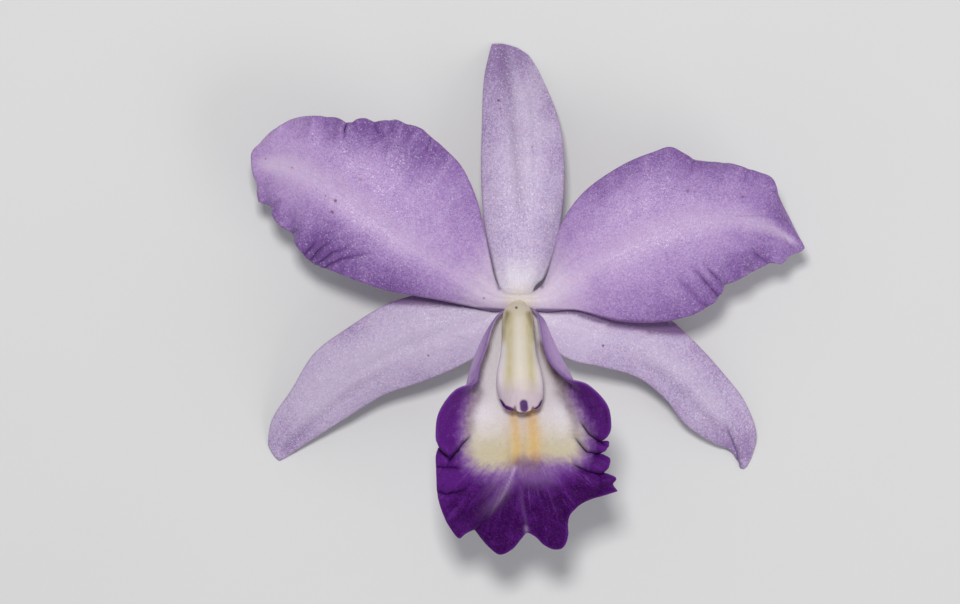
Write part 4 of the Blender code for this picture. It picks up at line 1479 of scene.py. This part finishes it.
inside = lip_skin.cover(
    violet,
    (inner.ease(-1.6, 2.4), throat),
    # the brown below the yellow, and painted shade under the rims and at the side lobes
    (lip_skin.mark("brown") * (0.75 + fine_rays), BROWN_AND_SHADE),
    # pale lines, and painted highlight on the pleat's crest and at the notch
    (lip_skin.mark("pale_and_highlight") * (0.9 + fine_rays + grain), PALE_LILAC_AND_HIGHLIGHT),
    (rim.ease(0.9, 0.1) * down.ease(4.0, 16.0) * 0.55, VIOLET),
)
outside = lip_skin.cover(
    TUBE_LILAC,
    ((down + ragged * 6 + blotch * 8).ease(13.0, 22.0) * 0.75, VIOLET),
    (rim.ease(3.5, 0.0) * 0.3 + (blotch + ragged).ease(0.0, 0.5) * 0.35, VIOLET),
)
glint = cell.ease(0.8, 1.0)
base = lip_skin.cover(
    outside,
    (lip_skin.mark("front"), inside),
    (rim.ease(0.5, 0.1) * (0.5 - down.ease(14.0, 20.0) * 0.4), RIM_VIOLET),
    # painted shade in the folds
    (lip_skin.mark("crease") * 0.9, LIP_FOLD_SHADE),
    # painted violet highlights on the brightest cells
    (glint * 0.1, MAUVE),
)
dome = lip_skin.cells(place, CELLS_PER_MM).ease(0.5, 0.0)
lip_height = dome * 0.5 + grain * 0.5 + (rays + fine_rays) * mid_lobe
lip_skin.wear(base, 0.5 - glint * 0.08, lip_height, 0.1)
lip_skin.dress(lip)

# %% [markdown]
# The column is waxy and cream, with two greener bands along its back, and touches of violet on its
# hood. A painted highlight runs along the ridge between the bands, its flanks are painted lighter to
# take out the shadow beside them, and painted shade darkens its green sides near the foot. It is
# smoother than the petals, so it shows one long soft highlight.

# %% The skin of the column and the cap
COLUMN_CREAM = colour(219, 208, 190)
FOOT_CREAM = colour(224, 212, 184)
BAND_GREEN = colour(198, 186, 142)
# painted highlight along the column's ridge
RIDGE_HIGHLIGHT = colour(229, 221, 209)
# pale flanks, painted lighter as well to take out the shadow at the column's sides
FLANK_WHITE_AND_LIGHT = colour(234, 224, 232)
# green of the column's sides near its foot, darkened with painted shade in the recesses there
GREEN_AND_SHADE = colour(132, 118, 62)
HOOD_LILAC = colour(198, 179, 191)
HOOD_VIOLET = colour(70, 4, 96)
LINE_BROWN = colour(92, 56, 62)
PIT_BROWN = colour(66, 50, 34)
HEART_PIT = (-0.8, -1.6)
CAP_LILAC = colour(214, 198, 208)
CAP_MAUVE = colour(196, 176, 196)
CAP_VIOLET = colour(84, 36, 116)
CAP_BROWN = colour(100, 64, 66)
HOOD_MARKS = [
    Stroke([(-4.3, -21.2), (-3.4, -22.3), (-1.7, -22.9)], 0.62, 1.0, 0.15),
    Stroke([(4.6, -21.3), (4, -22.3), (3, -22.9)], 0.58, 1.0, 0.15),
    Stroke([(0.65, -21.5), (0.75, -22.4)], 0.85, 1.0),
]
GREEN_BANDS = [
    Stroke([(-2.2, -3), (-2.4, -10), (-2.3, -19)], 0.9, 1.0, 0.1),
    Stroke([(1.7, -3), (2, -10), (2.4, -19)], 0.75, 1.0, 0.1),
]
# painted highlight along the ridge of the column's back
RIDGE_HIGHLIGHT_STROKES = [Stroke([(-0.3, -4), (-0.2, -12), (0, -19.5)], 0.75, 0.7, 0.1)]
# pale flanks, also painted lighter against the shadow beside the column
PALE_AND_LIT_FLANKS = [
    Stroke([(-3.9, -10), (-4.5, -15), (-4.6, -20)], 0.9, 0.9),
    Stroke([(3.7, -10), (4.5, -15), (4.8, -20)], 0.9, 0.9),
]
# green sides near the foot, with painted shade in the recesses
SHADED_GREEN_SIDES = [
    Stroke([(-2.7, -2.8), (-3.5, -5.8), (-3.6, -8)], 0.6, 1.0, 0.6),
    Stroke([(1.9, -2.8), (2.7, -6), (2.9, -8)], 0.6, 1.0, 0.6),
]
EDGE_LINES = [
    Stroke(
        [(-1.2, -22.2), (-1, -23.2), (-0.2, -23.6), (1.3, -23.5), (2.3, -23.2), (2.6, -22.3)],
        0.28,
        0.9,
    ),
    Stroke([(-4, -22), (-2.8, -23.1), (-1.2, -23.4)], 0.22, 0.6),
]


def mark_body(body, **strokes):
    """Paints strokes on the points of a solid body, one mark for each name."""
    points = np.empty(len(body.data.vertices) * 3)
    body.data.vertices.foreach_get("co", points)
    points = points.reshape(-1, 3) / MM - HEART
    for name, lines in strokes.items():
        write_mark(body, name, paint(points, lines))


mark_body(
    column,
    violet=HOOD_MARKS,
    green=GREEN_BANDS,
    ridge=RIDGE_HIGHLIGHT_STROKES,
    flank=PALE_AND_LIT_FLANKS,
    moss=SHADED_GREEN_SIDES,
    brown=EDGE_LINES,
)
column_skin = Finish(
    "column_skin",
    Roughness=0.5,
    Specular_IOR_Level=0.3,
    Subsurface_Weight=0.4,
    Subsurface_Scale=0.002,
    Subsurface_Radius=(1, 0.8, 0.7),
)
place = column_skin.place()
down = -1 * column_skin.part(place, "Y")
cloud = column_skin.noise(place, 0.5, 3.0) - 0.5
fine = column_skin.noise(place, 1.6, 3.0, (1, 0.25, 0.25)) - 0.5
base = column_skin.cover(
    COLUMN_CREAM,
    ((down + cloud * 3).ease(12.0, 1.0), FOOT_CREAM),
    (column_skin.mark("green") * (0.8 + fine), BAND_GREEN),
    # painted highlight along the ridge
    (column_skin.mark("ridge") * (0.9 + fine), RIDGE_HIGHLIGHT),
    # pale flanks, with painted light against the shadow at the sides
    (column_skin.mark("flank"), FLANK_WHITE_AND_LIGHT),
    # green sides with painted shade in the recesses
    (column_skin.mark("moss") * (0.8 + fine), GREEN_AND_SHADE),
    ((down + cloud * 3).ease(15.0, 21.0) * 0.9, HOOD_LILAC),
    (column_skin.mark("violet").ease(0.15, 0.6), HOOD_VIOLET),
    (column_skin.mark("brown"), LINE_BROWN),
    (column_skin.near(place, HEART_PIT, 0.4) * 0.9, PIT_BROWN),
)
column_skin.wear(base, 0.5 + cloud * 0.15, fine + cloud, 0.12)
column_skin.dress(column)

mark_body(anther_cap, violet=HOOD_MARKS, brown=EDGE_LINES)
cap_skin = Finish("cap_skin", Roughness=0.36, Subsurface_Weight=0.1, Subsurface_Scale=0.001)
place = cap_skin.place()
cloud = cap_skin.noise(place, 1.4, 3.0) - 0.5
base = cap_skin.cover(
    CAP_LILAC,
    (cloud + 0.5, CAP_MAUVE),
    (cap_skin.mark("violet").ease(0.2, 0.7) * 0.8, CAP_VIOLET),
    (cap_skin.mark("brown"), CAP_BROWN),
)
cap_skin.wear(base, 0.36 + cloud * 0.1, cloud, 0.06)
cap_skin.dress(anther_cap)

# %% [markdown]
# Pollen masses are yellow and waxy. The ovary and stalk are green, flushed with lilac near the flower
# and streaked along their length, and the cut shows the paler pith.

# %% The skin of pollinia, ovary and stalk
POLLEN_YELLOW = colour(236, 206, 96)
POLLEN_GOLD = colour(214, 168, 62)
STALK_GREEN = colour(150, 162, 96)
STALK_PALE = colour(186, 188, 134)
STALK_LILAC = colour(178, 152, 184)
PITH = colour(206, 212, 160)
CUT_STARTS = 42.6
CUT_ENDS = 42.95

wax = Finish("pollen_wax", Roughness=0.35, Subsurface_Weight=0.2, Subsurface_Scale=0.001)
place = wax.place()
base = wax.mix(wax.noise(place, 4.0), POLLEN_YELLOW, POLLEN_GOLD)
wax.wear(base, 0.35, wax.noise(place, 6.0), 0.03)
wax.dress(pollinia)

stalk_skin = Finish("stalk_skin", Roughness=0.45, Subsurface_Weight=0.1, Subsurface_Scale=0.001)
place = stalk_skin.place()
down = -1 * stalk_skin.part(place, "Y")
streaks = stalk_skin.noise(place, 1.2, 4.0, (1, 0.08, 0.5)) - 0.5
patches = stalk_skin.noise(place, 0.3, 3.0) - 0.5
base = stalk_skin.cover(
    STALK_GREEN,
    ((streaks * 1.5 + patches + 0.5).ease(0.1, 0.9), STALK_PALE),
    ((down + patches * 8).ease(18.0, 3.0) * 0.55, STALK_LILAC),
    (down.ease(CUT_STARTS, CUT_ENDS), PITH),
)
stalk_skin.wear(base, 0.45 + streaks * 0.2, streaks + patches, 0.15)
stalk_skin.dress(pedicel)

# %% [markdown]
# The flower lies on a plain pale table, and the camera looks straight down on it. The main lamp is
# soft and stands a little towards the upper sepal, so that the petals throw their shadows just below
# them. A weak lamp at the side and the pale sky fill the shadows.

# %% Table, light and camera
TABLE_SIZE = 3
TABLE_GREY = colour(214, 213, 211)
TABLE_PALE = colour(220, 219, 217)
CAMERA_LENS = 250
CAMERA_SENSOR = 36
CAMERA_SIGHT = 20
PIXEL = 0.21 * MM
PICTURE_WIDTH = 960
HEART_PIXEL = (520, 300)
PICTURE_CENTRE = (480, 302)
LAMPS = {"key": ((-0.05, 0.22, 1.02), 0.16, 6.0), "fill": ((0.7, -0.5, 0.6), 0.6, 2.3)}
LAMP_TARGET = (0, 0, 0.01)
SKY_COLOUR = (0.9, 0.93, 1, 1)
SKY_STRENGTH = 0.37

bpy.ops.object.select_all(action="DESELECT")
bpy.ops.mesh.primitive_plane_add(size=TABLE_SIZE)
table = bpy.context.object
table.name = "table"
table_top = Finish("table_top", Roughness=0.6)
table_top.wear(table_top.mix(table_top.noise(table_top.place(), 0.01, 2.0), TABLE_GREY, TABLE_PALE))
table_top.dress(table)


def aim(thing, target):
    """Turns a lamp or camera so that it looks at a place."""
    way = Vector(target) - thing.location
    thing.rotation_euler = way.to_track_quat("-Z", "Y").to_euler()


aside = (PICTURE_CENTRE[0] - HEART_PIXEL[0]) * PIXEL
ahead = (HEART_PIXEL[1] - PICTURE_CENTRE[1]) * PIXEL
distance = PIXEL * PICTURE_WIDTH * CAMERA_LENS / CAMERA_SENSOR
camera_place = Vector(HEART * MM) + Vector((aside, ahead, distance))
bpy.ops.object.camera_add(location=camera_place, rotation=(0, 0, 0))
camera = bpy.context.object
camera.data.lens = CAMERA_LENS
camera.data.sensor_width = CAMERA_SENSOR
camera.data.clip_end = CAMERA_SIGHT
bpy.context.scene.camera = camera

for name, (place, size, power) in LAMPS.items():
    bpy.ops.object.light_add(type="AREA", location=place)
    lamp = bpy.context.object
    lamp.name = name
    lamp.data.size = size
    lamp.data.energy = power
    aim(lamp, LAMP_TARGET)
world = bpy.data.worlds.new("sky")
world.use_nodes = True
background = world.node_tree.nodes["Background"]
background.inputs["Color"].default_value = SKY_COLOUR
background.inputs["Strength"].default_value = SKY_STRENGTH
bpy.context.scene.world = world
bpy.context.scene.view_settings.view_transform = "Standard"
print("the camera stands", round(distance, 2), "m above the flower")
